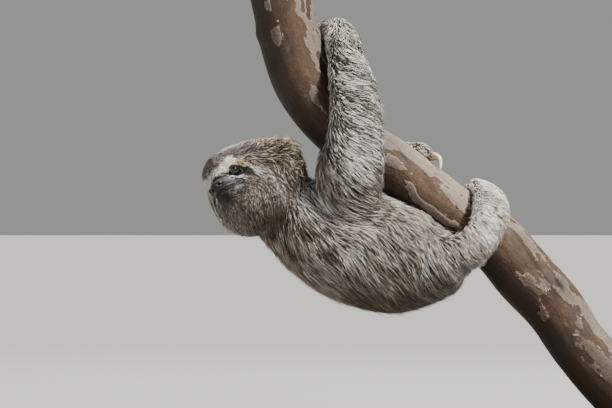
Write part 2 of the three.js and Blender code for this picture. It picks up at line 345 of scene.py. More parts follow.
wrapped = bmesh.new()
for node in FLESH:
    copy = merged_copy(node)
    copy.normal_update()
    for vert in copy.verts:
        vert.co += vert.normal * SWELL
    swollen = bpy.data.meshes.new("swollen")
    copy.to_mesh(swollen)
    copy.free()
    wrapped.from_mesh(swollen)
    bpy.data.meshes.remove(swollen)
skin_mesh = bpy.data.meshes.new("skin")
wrapped.to_mesh(skin_mesh)
wrapped.free()
skin = new_object("skin", skin_mesh)
remesh = skin.modifiers.new("wrap", "REMESH")
remesh.mode = "VOXEL"
remesh.voxel_size = VOXEL
bake_modifiers(skin)
outline_faces = [face.vertices for face in skin.data.polygons]
outline_tree = BVHTree.FromPolygons(read_points(skin.data).tolist(), outline_faces)
print("wrapped surface:", len(skin.data.vertices), "points")


# %% [markdown]
# A surface is softened by moving every point towards the middle of its neighbours. Done a few times it
# melts the voxel steps and the joints between limbs and body, and done on numbers instead of places it
# spreads a value, such as coat length, smoothly from one part of the animal into the next.

# %% Relaxing points and values
def read_edges(mesh):
    flat = np.empty(len(mesh.edges) * 2, int)
    mesh.edges.foreach_get("vertices", flat)
    return flat.reshape(-1, 2)


def relax(values, edges, times, strength=0.5, where=None):
    """Moves each value towards the mean of its neighbours; where holds how much each may move."""
    count = np.bincount(edges.ravel(), minlength=len(values)).astype(float)
    hold = strength if where is None else (strength * where)[:, None]
    flat = values.reshape(len(values), -1).astype(float)
    for _ in range(times):
        total = np.zeros_like(flat)
        for column in range(flat.shape[1]):
            total[:, column] += np.bincount(edges[:, 0], flat[edges[:, 1], column], len(flat))
            total[:, column] += np.bincount(edges[:, 1], flat[edges[:, 0], column], len(flat))
        flat = flat + (total / np.maximum(count, 1)[:, None] - flat) * hold
    return flat.reshape(values.shape)


def solids_tree(nodes):
    """A search tree over some solids, and the number of the solid that each of its faces came from."""
    points, faces, owner = [], [], []
    for number, node in enumerate(nodes):
        mesh = bpy.data.objects[node].data
        start = len(points)
        points += read_points(mesh).tolist()
        faces += [[start + index for index in face.vertices] for face in mesh.polygons]
        owner += [number] * len(mesh.polygons)
    return BVHTree.FromPolygons(points, faces), np.array(owner)


flesh_tree, flesh_owner = solids_tree(FLESH)


def owners(points):
    return np.array([flesh_owner[flesh_tree.find_nearest(point)[2]] for point in points])


def on_parts(owner, *starts):
    """Which places belong to solids whose names start with one of these."""
    return np.isin(owner, [number for number, node in enumerate(FLESH) if node.startswith(starts)])


# %% [markdown]
# Everything on the head is easier to say in the head's own directions: left, forward and up. They are
# read off the solids. The eyes lie on one line across the face, and the nose sits ahead of and a
# little below their middle, which fixes the other two directions.

# %% The head's own directions
EYE_PLACE = np.array([18.0, 31.0, 5.0])
EYE_RADIUS = 5.6
EYE_SET = EYE_PLACE + [-1.8, 1.0, 0.3]
NOSE_PLACE = np.array([0.0, 48.5, -4.0])


def box_middle(node):
    low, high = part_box(node)
    return (np.array(low) + np.array(high)) / 2


eye_left, eye_right, nose_tip = (box_middle(node) for node in ("eye_left", "eye_right", "nose"))
HEAD_LEFT = unit(eye_left - eye_right)
eyes_middle = (eye_left + eye_right) / 2
to_nose = nose_tip - eyes_middle
to_nose = unit(to_nose - HEAD_LEFT * np.dot(to_nose, HEAD_LEFT))
over_nose = np.cross(to_nose, HEAD_LEFT)
drop = math.atan2(EYE_PLACE[2] - NOSE_PLACE[2], NOSE_PLACE[1] - EYE_PLACE[1])
HEAD_FORWARD = to_nose * math.cos(drop) + over_nose * math.sin(drop)
HEAD_UP = over_nose * math.cos(drop) - to_nose * math.sin(drop)
HEAD_MIDDLE = eyes_middle - HEAD_FORWARD * EYE_PLACE[1] * MM - HEAD_UP * EYE_PLACE[2] * MM
HEAD_AXES = np.array([HEAD_LEFT, HEAD_FORWARD, HEAD_UP])
print("head middle:", HEAD_MIDDLE.round(4), "forward:", HEAD_FORWARD.round(3), "up:", HEAD_UP.round(3))


def in_head(points):
    """Places in the head's directions, in millimetres."""
    return (points - HEAD_MIDDLE) @ HEAD_AXES.T / MM


def from_head(places):
    return HEAD_MIDDLE + (places * MM) @ HEAD_AXES


def head_angles(points):
    """Degrees round from the nose towards either ear, degrees up, and degrees from straight ahead."""
    places = in_head(points)
    way = unit(places)
    turn = np.degrees(np.arctan2(places[..., 0], places[..., 1]))
    rise = np.degrees(np.arcsin(np.clip(way[..., 2], -1, 1)))
    ahead = np.degrees(np.arccos(np.clip(way[..., 1], -1, 1)))
    return turn, rise, ahead


# %% [markdown]
# A three-toed sloth wears one coat with many lengths: a few millimetres on the face, longer and longer
# towards the ruff behind the cheeks, shaggy on the back, and short again on the hands and feet. One
# table gives each part its depth (how thick the coat lies), the length of its locks, their width and
# how many there are. On the head the values follow the angle from straight ahead.

# %% Depth, length, width and number of the locks
# part: depth mm, length mm, width mm, locks on each square millimetre
COAT = {
    "head": (6.5, 9, 0.8, 1.4), "neck": (11, 18, 0.76, 0.70), "trunk": (12, 19, 0.76, 0.66),
    "tail": (4, 9, 0.9, 0.9), "ear": (4.5, 15, 0.8, 1.1), "upper_arm": (9, 15, 0.76, 0.74),
    "forearm": (8, 13, 0.76, 0.80), "hand": (3.6, 7, 0.8, 1.3), "thigh": (9.5, 14, 0.76, 0.72),
    "shank": (7.5, 11, 0.76, 0.84), "foot": (3.4, 7, 0.8, 1.4),
}
FACE_COAT = (2.0, 3.6, 0.62, 3.6)
CHEEK_COAT = (5.5, 8.1, 0.72, 1.9)
MANE_COAT = (8.5, 17, 0.80, 1.2)


def part_of(node):
    return next(kind for kind in COAT if node.startswith(kind))


def coat_values(points, owner):
    table = np.array([COAT[part_of(node)] for node in FLESH], float)[owner]
    _, rise, ahead = head_angles(points)
    on_head = on_parts(owner, "head")
    to_cheek = smoothstep(36, 58, ahead)[:, None]
    to_mane = (smoothstep(66, 88, ahead) * smoothstep(-50, -15, rise))[:, None]
    head = np.array(FACE_COAT) * (1 - to_cheek) + np.array(CHEEK_COAT) * to_cheek
    head = head * (1 - to_mane) + np.array(MANE_COAT) * to_mane
    return np.where(on_head[:, None], head, table)


# %% [markdown]
# The solids end at the tips of the hair, so the skin has to sink by the depth of the coat. It sinks in
# a few small steps along its own normals with a little smoothing between them, which keeps the creases
# where limbs meet the body from folding over. Beside a claw it stays high, to hold the claw's root.

# %% Sink the skin by the depth of the coat
SINK_STEPS = 5
# places seen from the side in mm, and their half sizes: the hollow between the near arm and the flank,
# and the upper corner of the near wrist
ARM_HOLLOW = ((-53, 264), (13, 26))
WRIST_CORNER = ((-75, 450), (10, 9))
WRIST_PUSH = 4.5
CLAWS = [f"claw_{limb}_{side}_{number}" for limb in ("hand", "foot") for side in ("right", "left")
         for number in (1, 2, 3)]
claw_tree, _ = solids_tree(CLAWS)


def local_bump(points, middle, half):
    """1 at a place seen from the side, given in mm, and fading away round it."""
    return hump(points[:, 0] / MM, middle[0], half[0]) * hump(points[:, 2] / MM, middle[1], half[1])


edges = read_edges(skin.data)
write_points(skin.data, relax(read_points(skin.data), edges, 8))
outline_points = read_points(skin.data)
depth_mm = relax(coat_values(outline_points, owners(outline_points))[:, 0], edges, 10)
to_claw = np.array([claw_tree.find_nearest(point)[3] for point in outline_points]) / MM
depth_mm *= 0.25 + 0.75 * smoothstep(1.5, 8, to_claw)
for _ in range(SINK_STEPS):
    moved = read_points(skin.data) - read_normals(skin.data) * (depth_mm * MM / SINK_STEPS)[:, None]
    write_points(skin.data, relax(moved, edges, 2))
# the hollow between the near arm and the flank is filled, so that the coat can run over it
places = read_points(skin.data)
hollow = local_bump(places, *ARM_HOLLOW) * (places[:, 1] < 0)
write_points(skin.data, relax(places, edges, 45, where=relax(hollow, edges, 4)))
# the wrist's upper corner is rounder than its solid
knuckle = local_bump(read_points(skin.data), *WRIST_CORNER)
moved = read_points(skin.data) - read_normals(skin.data) * (WRIST_PUSH * MM * knuckle)[:, None]
write_points(skin.data, relax(moved, edges, 3, where=relax(knuckle, edges, 4)))
print("coat depth from", round(depth_mm.min(), 1), "to", round(depth_mm.max(), 1), "mm")


# %% [markdown]
# Two-millimetre faces are far too coarse for lids and lips, and fine enough everywhere else. So only the
# face is subdivided: once over the whole mask, and once more round the eyes and the snout.

# %% Finer faces on the face
FACE_DEGREES = 60
HEAD_REACH = 62


def face_mask(points):
    _, _, ahead = head_angles(points)
    return (ahead < FACE_DEGREES) & (np.linalg.norm(in_head(points), axis=1) < HEAD_REACH)


def fine_mask(points):
    turn, rise, ahead = head_angles(points)
    places = in_head(points)
    mirrored = np.abs(places[:, 0])[:, None] * [1, 0, 0] + places * [0, 1, 1]
    near_eye = np.linalg.norm(mirrored - EYE_SET, axis=1) < 13
    snout = (np.abs(turn) < 38) & (rise > -30) & (rise < 14) & (ahead < FACE_DEGREES)
    return (snout | near_eye) & face_mask(points)


for mask in (face_mask, fine_mask):
    chosen = mask(read_points(skin.data))
    finer = bmesh.new()
    finer.from_mesh(skin.data)
    finer.verts.ensure_lookup_table()
    inner = [edge for edge in finer.edges if chosen[edge.verts[0].index] and chosen[edge.verts[1].index]]
    bmesh.ops.subdivide_edges(finer, edges=inner, cuts=1, use_grid_fill=True)
    finer.to_mesh(skin.data)
    finer.free()
edges = read_edges(skin.data)
on_face = face_mask(read_points(skin.data)).astype(float)
write_points(skin.data, relax(read_points(skin.data), edges, 6, where=relax(on_face, edges, 4)))
print("skin with a fine face:", len(skin.data.vertices), "points")


# %% [markdown]
# The markings are the animal's face paint: a white band across the brow, a black patch that runs back
# from each eye, a thin white line under it, bare slate-grey skin on the snout and a pale ring round the
# cheeks. Each is a stroke along a few stops, given in degrees round and up from the nose, and each stop
# has its half width. Skin and coat read the same strokes, so the paint is the same on both.

# %% Strokes and edges on the face
DEGREE_MM = 0.73
BROW_LOW = ((0, 11.5), (7, 12), (12, 10.5), (17, 14), (24, 17), (31, 19.5), (37, 21.5))
BROW_HIGH = ((0, 17), (10, 19), (17, 22), (24, 25.5), (30, 26), (37, 22))
CREAM_LINE = ((28, 18.5, 1.6), (36, 19, 2.2), (42, 16, 2.2), (47, 9, 2.0), (50, 2, 1.5))
EYE_PATCH = ((10, 6, 0.6), (16, 5.5, 4.6), (24, 5, 8.8), (31, 4, 10), (38, -0.5, 9), (43, -6, 5.6),
             (47, -10.5, 2))
PATCH_TAIL = ((43, -5, 3.0), (49, -15, 3.5), (54, -27, 3.0))
WHITE_LINE = ((11, 4, 0.4), (17, -1.4, 0.5), (24, -6, 0.55), (30, -10.3, 0.5), (34, -13.5, 0.3))
SNOUT_HIGH = ((0, 12), (5, 11), (9, 7.4), (13, 2.9), (18, -2.8), (24, -7.4), (29, -11.6), (32, -15))
MOUTH = ((0, -13), (4, -13.5), (9, -14), (14, -14), (20, -14), (26, -15), (31, -17), (34, -18))
CHEEK_RING = ((50, 3, 4), (60, -9, 6), (71, -16, 7), (83, -33, 7), (97, -49, 5))
SNOUT_TURN = 31.5


def stroke(turn, rise, stops):
    """Degrees outside the edge of a stroke; negative inside it."""
    across = np.abs(turn) * np.cos(np.radians(rise))
    best = np.full(len(turn), 1e9)
    for (t0, r0, half0), (t1, r1, half1) in zip(stops, stops[1:]):
        start = np.array([t0 * math.cos(math.radians(r0)), r0])
        reach = np.array([t1 * math.cos(math.radians(r1)), r1]) - start
        along = ((across - start[0]) * reach[0] + (rise - start[1]) * reach[1]) / (reach @ reach)
        along = np.clip(along, 0, 1)
        away = np.hypot(across - start[0] - reach[0] * along, rise - start[1] - reach[1] * along)
        best = np.minimum(best, away - (half0 + (half1 - half0) * along))
    return best


def level(turn, line):
    """The height in degrees of a line across the face, at each place's turn."""
    return np.interp(np.abs(turn), [stop[0] for stop in line], [stop[1] for stop in line])


def inside(distance, soft):
    return smoothstep(soft, -soft, distance)


def bare_skin(points):
    """1 on the bare skin of the snout, 0 on fur."""
    turn, rise, ahead = head_angles(points)
    under = inside(rise - level(turn, SNOUT_HIGH), 0.8)
    over = inside(level(turn, MOUTH) - 0.8 - rise, 0.8)
    return under * over * inside(np.abs(turn) - SNOUT_TURN, 1.2) * (ahead < FACE_DEGREES)


# %% [markdown]
# The face is sculpted in code, in the head's directions. Each eye gets a frame of its own that looks
# out of the head along the eye. Inside the almond of the lids the skin is pressed in behind the
# eyeball, at its edge it rises over the ball as a rim, and outside it runs down to the cheek. The mouth
# is a groove along its line with a swelling on either side, and the brow is a soft ridge.

# %% Sculpt the lids, mouth and snout
EYE_OUT = unit(np.array([0.60, 0.79, 0.10]))
EYE_ALONG = unit(np.cross(np.cross(EYE_OUT, np.array([0.80, -0.44, -0.41])), EYE_OUT))
EYE_RAISED = np.cross(EYE_ALONG, EYE_OUT)
LID_HALF = (7.1, 5.5)
LID_DROP = 1.7
LID_SHIFT = 0.2
LID_EDGE = 0.93
RIM_OVER_BALL = 0.55
SKIN_UNDER_BALL = 1.6
# height, middle and half width in mm of the mouth's groove, its upper lip and its lower lip
LIPS = ((-1.5, 0, 0.55), (0.75, 1.9, 1.4), (0.9, -2.1, 1.5))
SNOUT = (np.array([0, 32.5, -8.0]), np.array([13.4, 17.6, 11.4]))


def eye_frame(points):
    """Along the lids, across them and out of the head from the nearer eye, in millimetres."""
    places = in_head(points)
    mirrored = np.column_stack([np.abs(places[:, 0]), places[:, 1:]]) - EYE_SET
    return mirrored @ EYE_ALONG, mirrored @ EYE_RAISED, mirrored @ EYE_OUT


def lid_measure(along, across):
    """Under 1 inside the opening of the lids, which is pointed at both corners."""
    lower, along = across + LID_DROP, along + LID_SHIFT
    lens = np.abs(lower) / LID_HALF[1] + (along / LID_HALF[0]) ** 2 * 0.9
    oval = np.hypot(along / LID_HALF[0], lower / LID_HALF[1])
    return 0.45 * lens + 0.55 * oval


def sculpt_face(points):
    places = in_head(points)
    side = np.where(places[:, 0] < 0, -1.0, 1.0)
    along, across, out = eye_frame(points)
    measure = lid_measure(along, across)
    reach = np.hypot(along, across)
    ball = np.sqrt(np.clip(EYE_RADIUS ** 2 - reach ** 2, 0.3, None))
    rim = np.sqrt(np.clip((EYE_RADIUS + RIM_OVER_BALL) ** 2 - reach ** 2, 1.0, None))
    rim = rim - 0.5 * smoothstep(0, -4, across)
    wanted = np.where(measure < LID_EDGE, ball - SKIN_UNDER_BALL, rim)
    hold = inside(measure - 1.55, 0.5)
    near = (np.linalg.norm(places, axis=1) < 60) & (out > -9)
    change = np.where(near, (wanted - out) * hold, 0)
    push = np.where([True, False, False], side[:, None], 1.0) * EYE_OUT
    places = places + push * change[:, None]
    turn, rise, ahead = head_angles(points)
    way = unit(places)
    on_head = (ahead < 62) & (np.linalg.norm(places, axis=1) < HEAD_REACH)
    # the snout is an egg: where the skin has sunk below it, it is lifted back onto it
    middle, half = SNOUT
    a = ((way / half) ** 2).sum(axis=1)
    b = (way * middle / half ** 2).sum(axis=1)
    c = ((middle / half) ** 2).sum() - 1
    hit = b * b - a * c
    egg = np.where(hit > 0, (b + np.sqrt(np.maximum(hit, 0))) / a, 0)
    short = np.linalg.norm(places, axis=1) - egg
    lifted = 1.1 * np.log1p(np.exp(-short / 1.1))
    places = places + way * np.where(on_head & (hit > 0), lifted, 0)[:, None]
    to_mouth = (rise - level(turn, MOUTH)) * DEGREE_MM
    mouth_side = inside(np.abs(turn) - 31, 2.5)
    mouth = sum(height * hump(to_mouth, middle, half) for height, middle, half in LIPS)
    line = inside(stroke(turn, rise, WHITE_LINE), 2.0) * 0.45
    brow = 0.9 * hump(rise, 20, 5) * inside(np.abs(turn) - 34, 6)
    bridge = 0.8 * hump(turn, 0, 7) * smoothstep(-4, 4, rise) * inside(rise - 18, 5)
    lift = mouth * mouth_side + line + brow + bridge
    return from_head(places + way * np.where(on_head, lift, 0)[:, None])


write_points(skin.data, sculpt_face(read_points(skin.data)))
smooth_shading(skin.data)
print("widest lid opening:", LID_HALF[0] * 2, "by", LID_HALF[1] * 2, "mm")


# %% [markdown]
# Sloth hair is banded: dark at the root, warm grey-brown along its length and pale at the tip. Every
# place on the animal has one tip colour and one root colour, from the body's patches and the strokes of
# the face. Some patches are painted light and shade: painted highlights on the near arm, the near leg and
# the nape, and painted shade on the underside, on the arm's shaded side and under the jaw. The skin
# takes a mix of root and tip colour, and each lock runs from its root colour to its tip colour.

# %% Root and tip colours
def shade(code):
    return np.array(linear(code))


def laid(base, code, amount):
    return base + (shade(code) - base) * amount[:, None]


# height on the near arm and half height of its whitish bands of painted highlight, in mm
ARM_HIGHLIGHT_BANDS = ((399, 19), (346, 22), (308, 13), (436, 9))
HIGHLIGHT_SLANT = 0.45
ARM_PARTS = ("upper_arm", "forearm", "hand")
LEG_PARTS = ("thigh", "shank", "foot")
NEAR_ARM = ("upper_arm_right", "forearm_right")
NEAR_LEG = ("thigh_right", "shank_right", "foot_right")


def built_up(count, base, layers):
    """Colours for so many points: a base, and over it each layer's colour by its amount."""
    colour = np.tile(shade(base), (count, 1))
    for code, amount in layers:
        colour = laid(colour, code, amount)
    return colour


def coat_colours(points, owner):
    """Root and tip colour for places on the animal, in linear light."""
    turn, rise, ahead = head_angles(points)
    x, y, z = points.T
    patch = noise(points, 34, 1) * 0.5 + 0.5
    mottle = noise(points, 11, 2) * 0.5 + 0.5
    chest = smoothstep(-0.09, -0.16, x) * smoothstep(0.27, 0.22, z)
    flank = smoothstep(0.245, 0.275, z) * smoothstep(-0.07, -0.04, x) * smoothstep(0.02, -0.01, x)
    # painted shade: the lower trunk is painted darker
    low = smoothstep(0.215, 0.165, z) * smoothstep(0.07, 0.03, x)
    # the near arm gets whitish bands of painted highlight on its sunny side with darker gaps between them,
    # and is browner along the branch as painted shade
    arm = on_parts(owner, *NEAR_ARM)
    slant = z / MM - HIGHLIGHT_SLANT * (x / MM + 80) + 5 * noise(points, 9, 9)
    highlight_bands = sum(hump(slant, high, half) for high, half in ARM_HIGHLIGHT_BANDS)
    sunny = smoothstep(-0.106, -0.084, x) * arm
    # painted sunlight: the near leg is painted paler on its near side, with purple-grey patches in it
    leg = on_parts(owner, *NEAR_LEG) * smoothstep(0.040, 0.005, y)
    ear = on_parts(owner, "ear")
    # painted sunlight: the nape behind the mane is painted whitish, as if lit
    sunlit_nape = smoothstep(0.258, 0.278, z) * smoothstep(-0.098, -0.112, x) * (1 - arm)
    tip = built_up(len(points), "#bdb0a5", [
        ("#94867a", patch * 0.8),
        ("#ddd3c9", smoothstep(0.55, 0.9, mottle) * 0.6),
        ("#9a7d64", chest * 0.45),
        ("#f4dcc8", flank * 0.85),
        # painted shade on the underside
        ("#584933", low * 0.9),
        ("#dcd3ca", on_parts(owner, *ARM_PARTS, *LEG_PARTS) * 0.5),
        # painted highlight bands on the arm's sunny side, painted shade between them and on its shaded side
        ("#fff6e8", np.clip(highlight_bands, 0, 1) * sunny * 0.95),
        ("#85786c", (1 - np.clip(highlight_bands * 1.8, 0, 1)) * sunny * 0.6),
        ("#85786b", (arm - sunny) * 0.7),
        # painted sunlight on the near leg
        ("#f8ecdf", leg * 0.75),
        ("#9a8e8f", leg * smoothstep(0.42, 0.72, patch) * 0.6),
        ("#8d7859", ear * 0.85),
        # painted sunlight on the nape
        ("#fbf6f0", sunlit_nape * (1 - ear) * 0.7),
    ])
    root = built_up(len(points), "#372d26", [
        ("#211b17", patch),
        ("#85776b", leg * 0.75),
        ("#17110c", ear * 0.9),
    ])
    # the head, from the back of it to the front
    mane = smoothstep(64, 82, ahead) * smoothstep(-32, -5, rise)
    crown = smoothstep(19, 28, rise) * (1 - mane)
    ring = inside(stroke(turn, rise, CHEEK_RING), 4.0)
    # painted shadow under the jaw
    jaw_shadow = smoothstep(-55, -70, rise)
    paint = paint_strokes(turn, rise)
    head_tip = built_up(len(points), "#92867c", [
        ("#6a5e56", smoothstep(0.25, 0.75, mottle) * 0.5),
        ("#96836a", mane * 0.8),
        ("#5d5151", crown * 0.95),
        ("#f3ede6", ring * 0.88),
        ("#54483b", jaw_shadow * 0.85),
    ] + [(tip_code, amount) for tip_code, _, amount in paint])
    head_root = built_up(len(points), "#2a2320", [
        ("#17110c", mane * 0.9),
        ("#1f191a", crown * 0.92),
        ("#857b74", ring * 0.65),
        ("#1b1611", jaw_shadow * 0.9),
    ] + [(root_code, amount) for _, root_code, amount in paint])
    on_head = on_parts(owner, "head")[:, None]
    return np.where(on_head, head_root, root), np.where(on_head, head_tip, tip)


def paint_strokes(turn, rise):
    """The face paint, with the painted shade under the nose, in the order it is laid: tip colour, root
    colour, how much of it.
    """
    apart = np.abs(turn)
    chin = inside(rise - level(turn, MOUTH), 1.5) * smoothstep(-36, -24, rise) * inside(apart - 30, 7)
    pale_chin = chin * smoothstep(12, 19, apart) * smoothstep(-24, -17, rise)
    shade_under_nose = inside(apart - 5.5, 2.5) * inside(rise + 7, 2) * smoothstep(-31, -19, rise)
    brow = inside(level(turn, BROW_LOW) - rise, 1.4) * inside(rise - level(turn, BROW_HIGH), 3.0)
    brow = brow * inside(apart - 35, 3)
    lip = inside(np.abs(rise - level(turn, MOUTH) + 1.5) - 1.6, 1.2) * inside(apart - 30, 3)
    return [
        ("#4c4847", "#1d1b1a", chin * 0.92),
        ("#a39d98", "#6b6663", pale_chin * 0.8),
        # painted shade under the nose
        ("#1e1a18", "#131110", shade_under_nose * 0.9),
        ("#25201e", "#171413", lip * 0.9),
        ("#fffcf3", "#c4bbab", brow * 0.97),
        ("#cdbb9c", "#a08c6c", inside(stroke(turn, rise, CREAM_LINE), 1.4) * 0.9),
        ("#54473b", "#332a23", inside(stroke(turn, rise, PATCH_TAIL), 3.5) * 0.75),
        ("#1b1613", "#0f0c0b", inside(stroke(turn, rise, EYE_PATCH), 1.1)),
        ("#fffdf8", "#e6dfd5", inside(stroke(turn, rise, WHITE_LINE), 0.6)),
    ]


skin_points = read_points(skin.data)
skin_owner = owners(skin_points)
skin_bare = bare_skin(skin_points)
root_colour, tip_colour = coat_colours(skin_points, skin_owner)
# under the fur the skin takes mostly the dark root colour: partly its own dark, partly painted shade for the
# gaps between the locks
under_coat = root_colour * 0.72 + tip_colour * 0.28
turn, rise, ahead = head_angles(skin_points)
# the bare snout is slate grey; its upper side is paler, partly its own grey and partly a painted highlight,
# and the mouth line is dark
slate = built_up(len(skin_points), "#242221", [
    ("#5f5e64", smoothstep(-5, 5, rise + np.abs(turn) * 0.42) * smoothstep(2, 12, np.abs(turn)) * 0.95),
    ("#1c1a19", inside(np.abs(rise - level(turn, MOUTH)) - 0.5, 0.9)),
])
along, across, out = eye_frame(skin_points)
lid_bare = inside(lid_measure(along, across) - 1.30, 0.12) * (out > -4) * (ahead < 62)
skin_colour = under_coat + (slate - under_coat) * skin_bare[:, None]
skin_colour = laid(skin_colour, "#14100e", lid_bare)
skin_bare = np.maximum(skin_bare, lid_bare)


def paint_points(mesh, colours):
    layer = mesh.color_attributes.new("tint", "FLOAT_COLOR", "POINT")
    full = np.ones((len(mesh.vertices), 4), np.float32)
    full[:, :3] = colours
    layer.data.foreach_set("color", full.ravel())


paint_points(skin.data, skin_colour)
write_values(skin.data, "bare", skin_bare)
print("bare skin:", int((skin_bare > 0.5).sum()), "of", len(skin_bare), "points")


# %% [markdown]
# Skin under fur is matt and finely folded; the bare skin of the snout is slate grey, pebbled like fine
# leather and faintly moist. One material covers both: an attribute says where the skin is bare, and
# roughness and bump follow it. The pebbles are half a millimetre across, as on a dog's muzzle.

# %% Skin material
PEBBLE_MM = 0.55
FOLD_MM = 2.2
skin_finish, tree, shader = new_material("living_skin", 0.6, 1.42, Specular_IOR_Level=0.4)
tint = add(tree, "ShaderNodeAttribute", {"attribute_name": "tint"})
bare = add(tree, "ShaderNodeAttribute", {"attribute_name": "bare"})
place = add(tree, "ShaderNodeTexCoord").outputs["Object"]
folds = add(tree, "ShaderNodeTexNoise", Vector=place, Scale=1000 / FOLD_MM, Detail=4.0, Roughness=0.6)
pebbles = add(tree, "ShaderNodeTexVoronoi", {"feature": "SMOOTH_F1"}, Vector=place, Scale=1000 / PEBBLE_MM)
mottled = add(tree, "ShaderNodeMapRange", Value=folds.outputs["Fac"], From_Min=0.3, From_Max=0.7,
              To_Min=0.82, To_Max=1.18)
toned = add(tree, "ShaderNodeVectorMath", {"operation": "SCALE"}, i0=tint.outputs["Color"],
            Scale=mottled.outputs["Result"])
grain = add(tree, "ShaderNodeMix", i0=bare.outputs["Fac"], i2=folds.outputs["Fac"],
            i3=pebbles.outputs["Distance"])
relief = add(tree, "ShaderNodeBump", Strength=0.45, Distance=0.25 * MM, Height=grain.outputs["Result"])
sheen = add(tree, "ShaderNodeMapRange", Value=bare.outputs["Fac"], To_Min=0.75, To_Max=0.46)
give(shader, Base_Color=toned.outputs["Vector"], Normal=relief.outputs["Normal"],
     Roughness=sheen.outputs["Result"])
skin.data.materials.clear()
skin.data.materials.append(skin_finish)
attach(skin, "root")
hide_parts(*FLESH)


# %% [markdown]
# The lie of a coat is the way every hair is combed. It is noted here as a table of directions: a place
# seen from the side, in millimetres, and which way the hair runs there, right and down. Between the
# places the directions blend. Each direction is then laid into the surface, so it bends round the body
# and serves the far side as well. On the head the hair runs back from the nose and hangs on the cheeks.

# %% The lie of the coat
# x, z in mm, then right and down
ARM_COMB = (
    (-92, 420, .4, .9), (-82, 420, .6, .6), (-72, 415, .75, -.35), (-60, 410, .9, -.2),
    (-96, 390, .45, .9), (-89, 390, .6, .3), (-79, 390, .8, -.5), (-69, 388, .95, -.25), (-56, 388, 1, .1),
    (-98, 370, .45, .9), (-86, 370, .7, -.3), (-74, 368, .95, -.2), (-54, 366, .9, .4),
    (-102, 340, .3, .95), (-84, 340, .9, .1), (-68, 338, .95, .2), (-52, 336, .7, .7),
    (-110, 300, .6, .8), (-88, 300, .85, .4), (-68, 300, .9, .3), (-88, 444, .2, .9), (-110, 455, -.3, .8),
)
BODY_COMB = (
    (-134, 270, .6, .8), (-149, 235, .7, .7), (-134, 220, .8, .6), (-104, 185, .9, .45), (-74, 170, .95, .3),
    (-34, 160, 1, .05), (6, 175, .9, .1), (-104, 255, .9, .4), (-84, 260, 1, .15), (-64, 270, 1, .2),
    (-44, 270, .85, .5), (-24, 260, .8, .6), (-4, 242, .7, .7), (-94, 235, .9, .45), (-74, 230, .75, .65),
    (-68, 215, .5, .87), (-84, 205, .8, .6), (-54, 220, .7, .7), (-34, 230, .7, .7), (-14, 220, .65, .75),
    (-54, 195, .75, .65), (-34, 185, .75, .65), (-14, 190, .6, .8), (6, 205, .4, .9), (1, 185, .6, .8),
)
LEG_COMB = (
    (14, 225, .5, .85), (21, 215, .7, .7), (31, 225, .85, .5), (41, 225, .8, .6), (26, 195, .6, .8),
    (36, 210, .7, .7), (51, 235, .8, .6), (66, 245, .6, .8), (56, 265, .8, .6), (66, 270, .5, .85),
    (51, 285, .9, .2), (70, 262, .5, .85),
)
COMB_REACH = 15.0
DOWN = np.array([0.0, 0.0, -1.0])
# room for the coat in mm: everywhere, in the arm's hollow, less at the wrist, and the least there
GAP_LIMITS = (1.0, 19)
HOLLOW_ROOM = 6
WRIST_TRIM = 5.5
LEAST_ROOM = 1.2


def combed(points, table):
    stops = np.array(table)
    seen = points[:, [0, 2]] / MM
    away = ((seen[:, None, :] - stops[None, :, :2]) ** 2).sum(axis=2)
    weight = np.exp(-away / (2 * COMB_REACH ** 2)) + 1.0 / (away + 4.0) ** 1.5
    run = (weight[:, :, None] * stops[None, :, 2:]).sum(axis=1) / weight.sum(axis=1)[:, None]
    return np.stack([run[:, 0], np.zeros(len(run)), -run[:, 1]], axis=1)


def lie_of_coat(points, normals, owner):
    lie = combed(points, BODY_COMB)
    lie = np.where(on_parts(owner, *ARM_PARTS)[:, None], combed(points, ARM_COMB), lie)
    lie = np.where(on_parts(owner, *LEG_PARTS)[:, None], combed(points, LEG_COMB), lie)
    _, rise, ahead = head_angles(points)
    hang = smoothstep(34, 62, ahead) * smoothstep(24, -8, rise)
    hang = hang + 0.5 * smoothstep(-20, -45, rise)
    back = -HEAD_FORWARD[None, :] + DOWN[None, :] * (0.12 + 1.15 * hang)[:, None]
    outward = unit(in_head(points)) @ HEAD_AXES
    lift = outward - HEAD_FORWARD[None, :] * (outward @ HEAD_FORWARD)[:, None]
    back = back + lift * (0.35 * smoothstep(60, 85, ahead))[:, None]
    lie = np.where(on_parts(owner, "head", "ear")[:, None], back, lie)
    flat = lie - normals * (lie * normals).sum(axis=1)[:, None]
    fall = DOWN[None, :] - normals * (normals @ DOWN)[:, None]
    return unit(flat + 0.22 * fall)


edges = read_edges(skin.data)
skin_normals = read_normals(skin.data)
skin_lie = lie_of_coat(skin_points, skin_normals, skin_owner)
skin_lie = relax(skin_lie, edges, 6)
skin_lie = unit(skin_lie - skin_normals * (skin_lie * skin_normals).sum(axis=1)[:, None])
skin_coat = relax(coat_values(skin_points, skin_owner), edges, 8)
# the room between the skin and the outline of the solids is what the coat has to fill
skin_gap = np.array([outline_tree.find_nearest(point)[3] for point in skin_points])
skin_gap = relax(np.clip(skin_gap, GAP_LIMITS[0] * MM, GAP_LIMITS[1] * MM), edges, 4)
hollow = local_bump(skin_points, *ARM_HOLLOW) * (skin_points[:, 1] < 0)
skin_gap = np.maximum(skin_gap, HOLLOW_ROOM * MM * hollow)
skin_gap = np.maximum(skin_gap - WRIST_TRIM * MM * local_bump(skin_points, *WRIST_CORNER), LEAST_ROOM * MM)
print("lie of the coat noted at", len(skin_lie), "points; room from", round(skin_gap.min() / MM, 1), "to",
      round(skin_gap.max() / MM, 1), "mm")


# %% [markdown]
# A coat could be made of particle hair, but hair without thickness is lost when a model leaves Blender.
# Here each lock is a thin solid: a three-sided spike that rises from its root, bends over and lies along
# the body. Roots are scattered over the skin by area. Each path is walked along the skin step by step,
# asking the surface for its height and its combing, so that locks follow every curve of the body.

# %% Scatter the roots
rng = np.random.default_rng(11)
THIN = 1.0

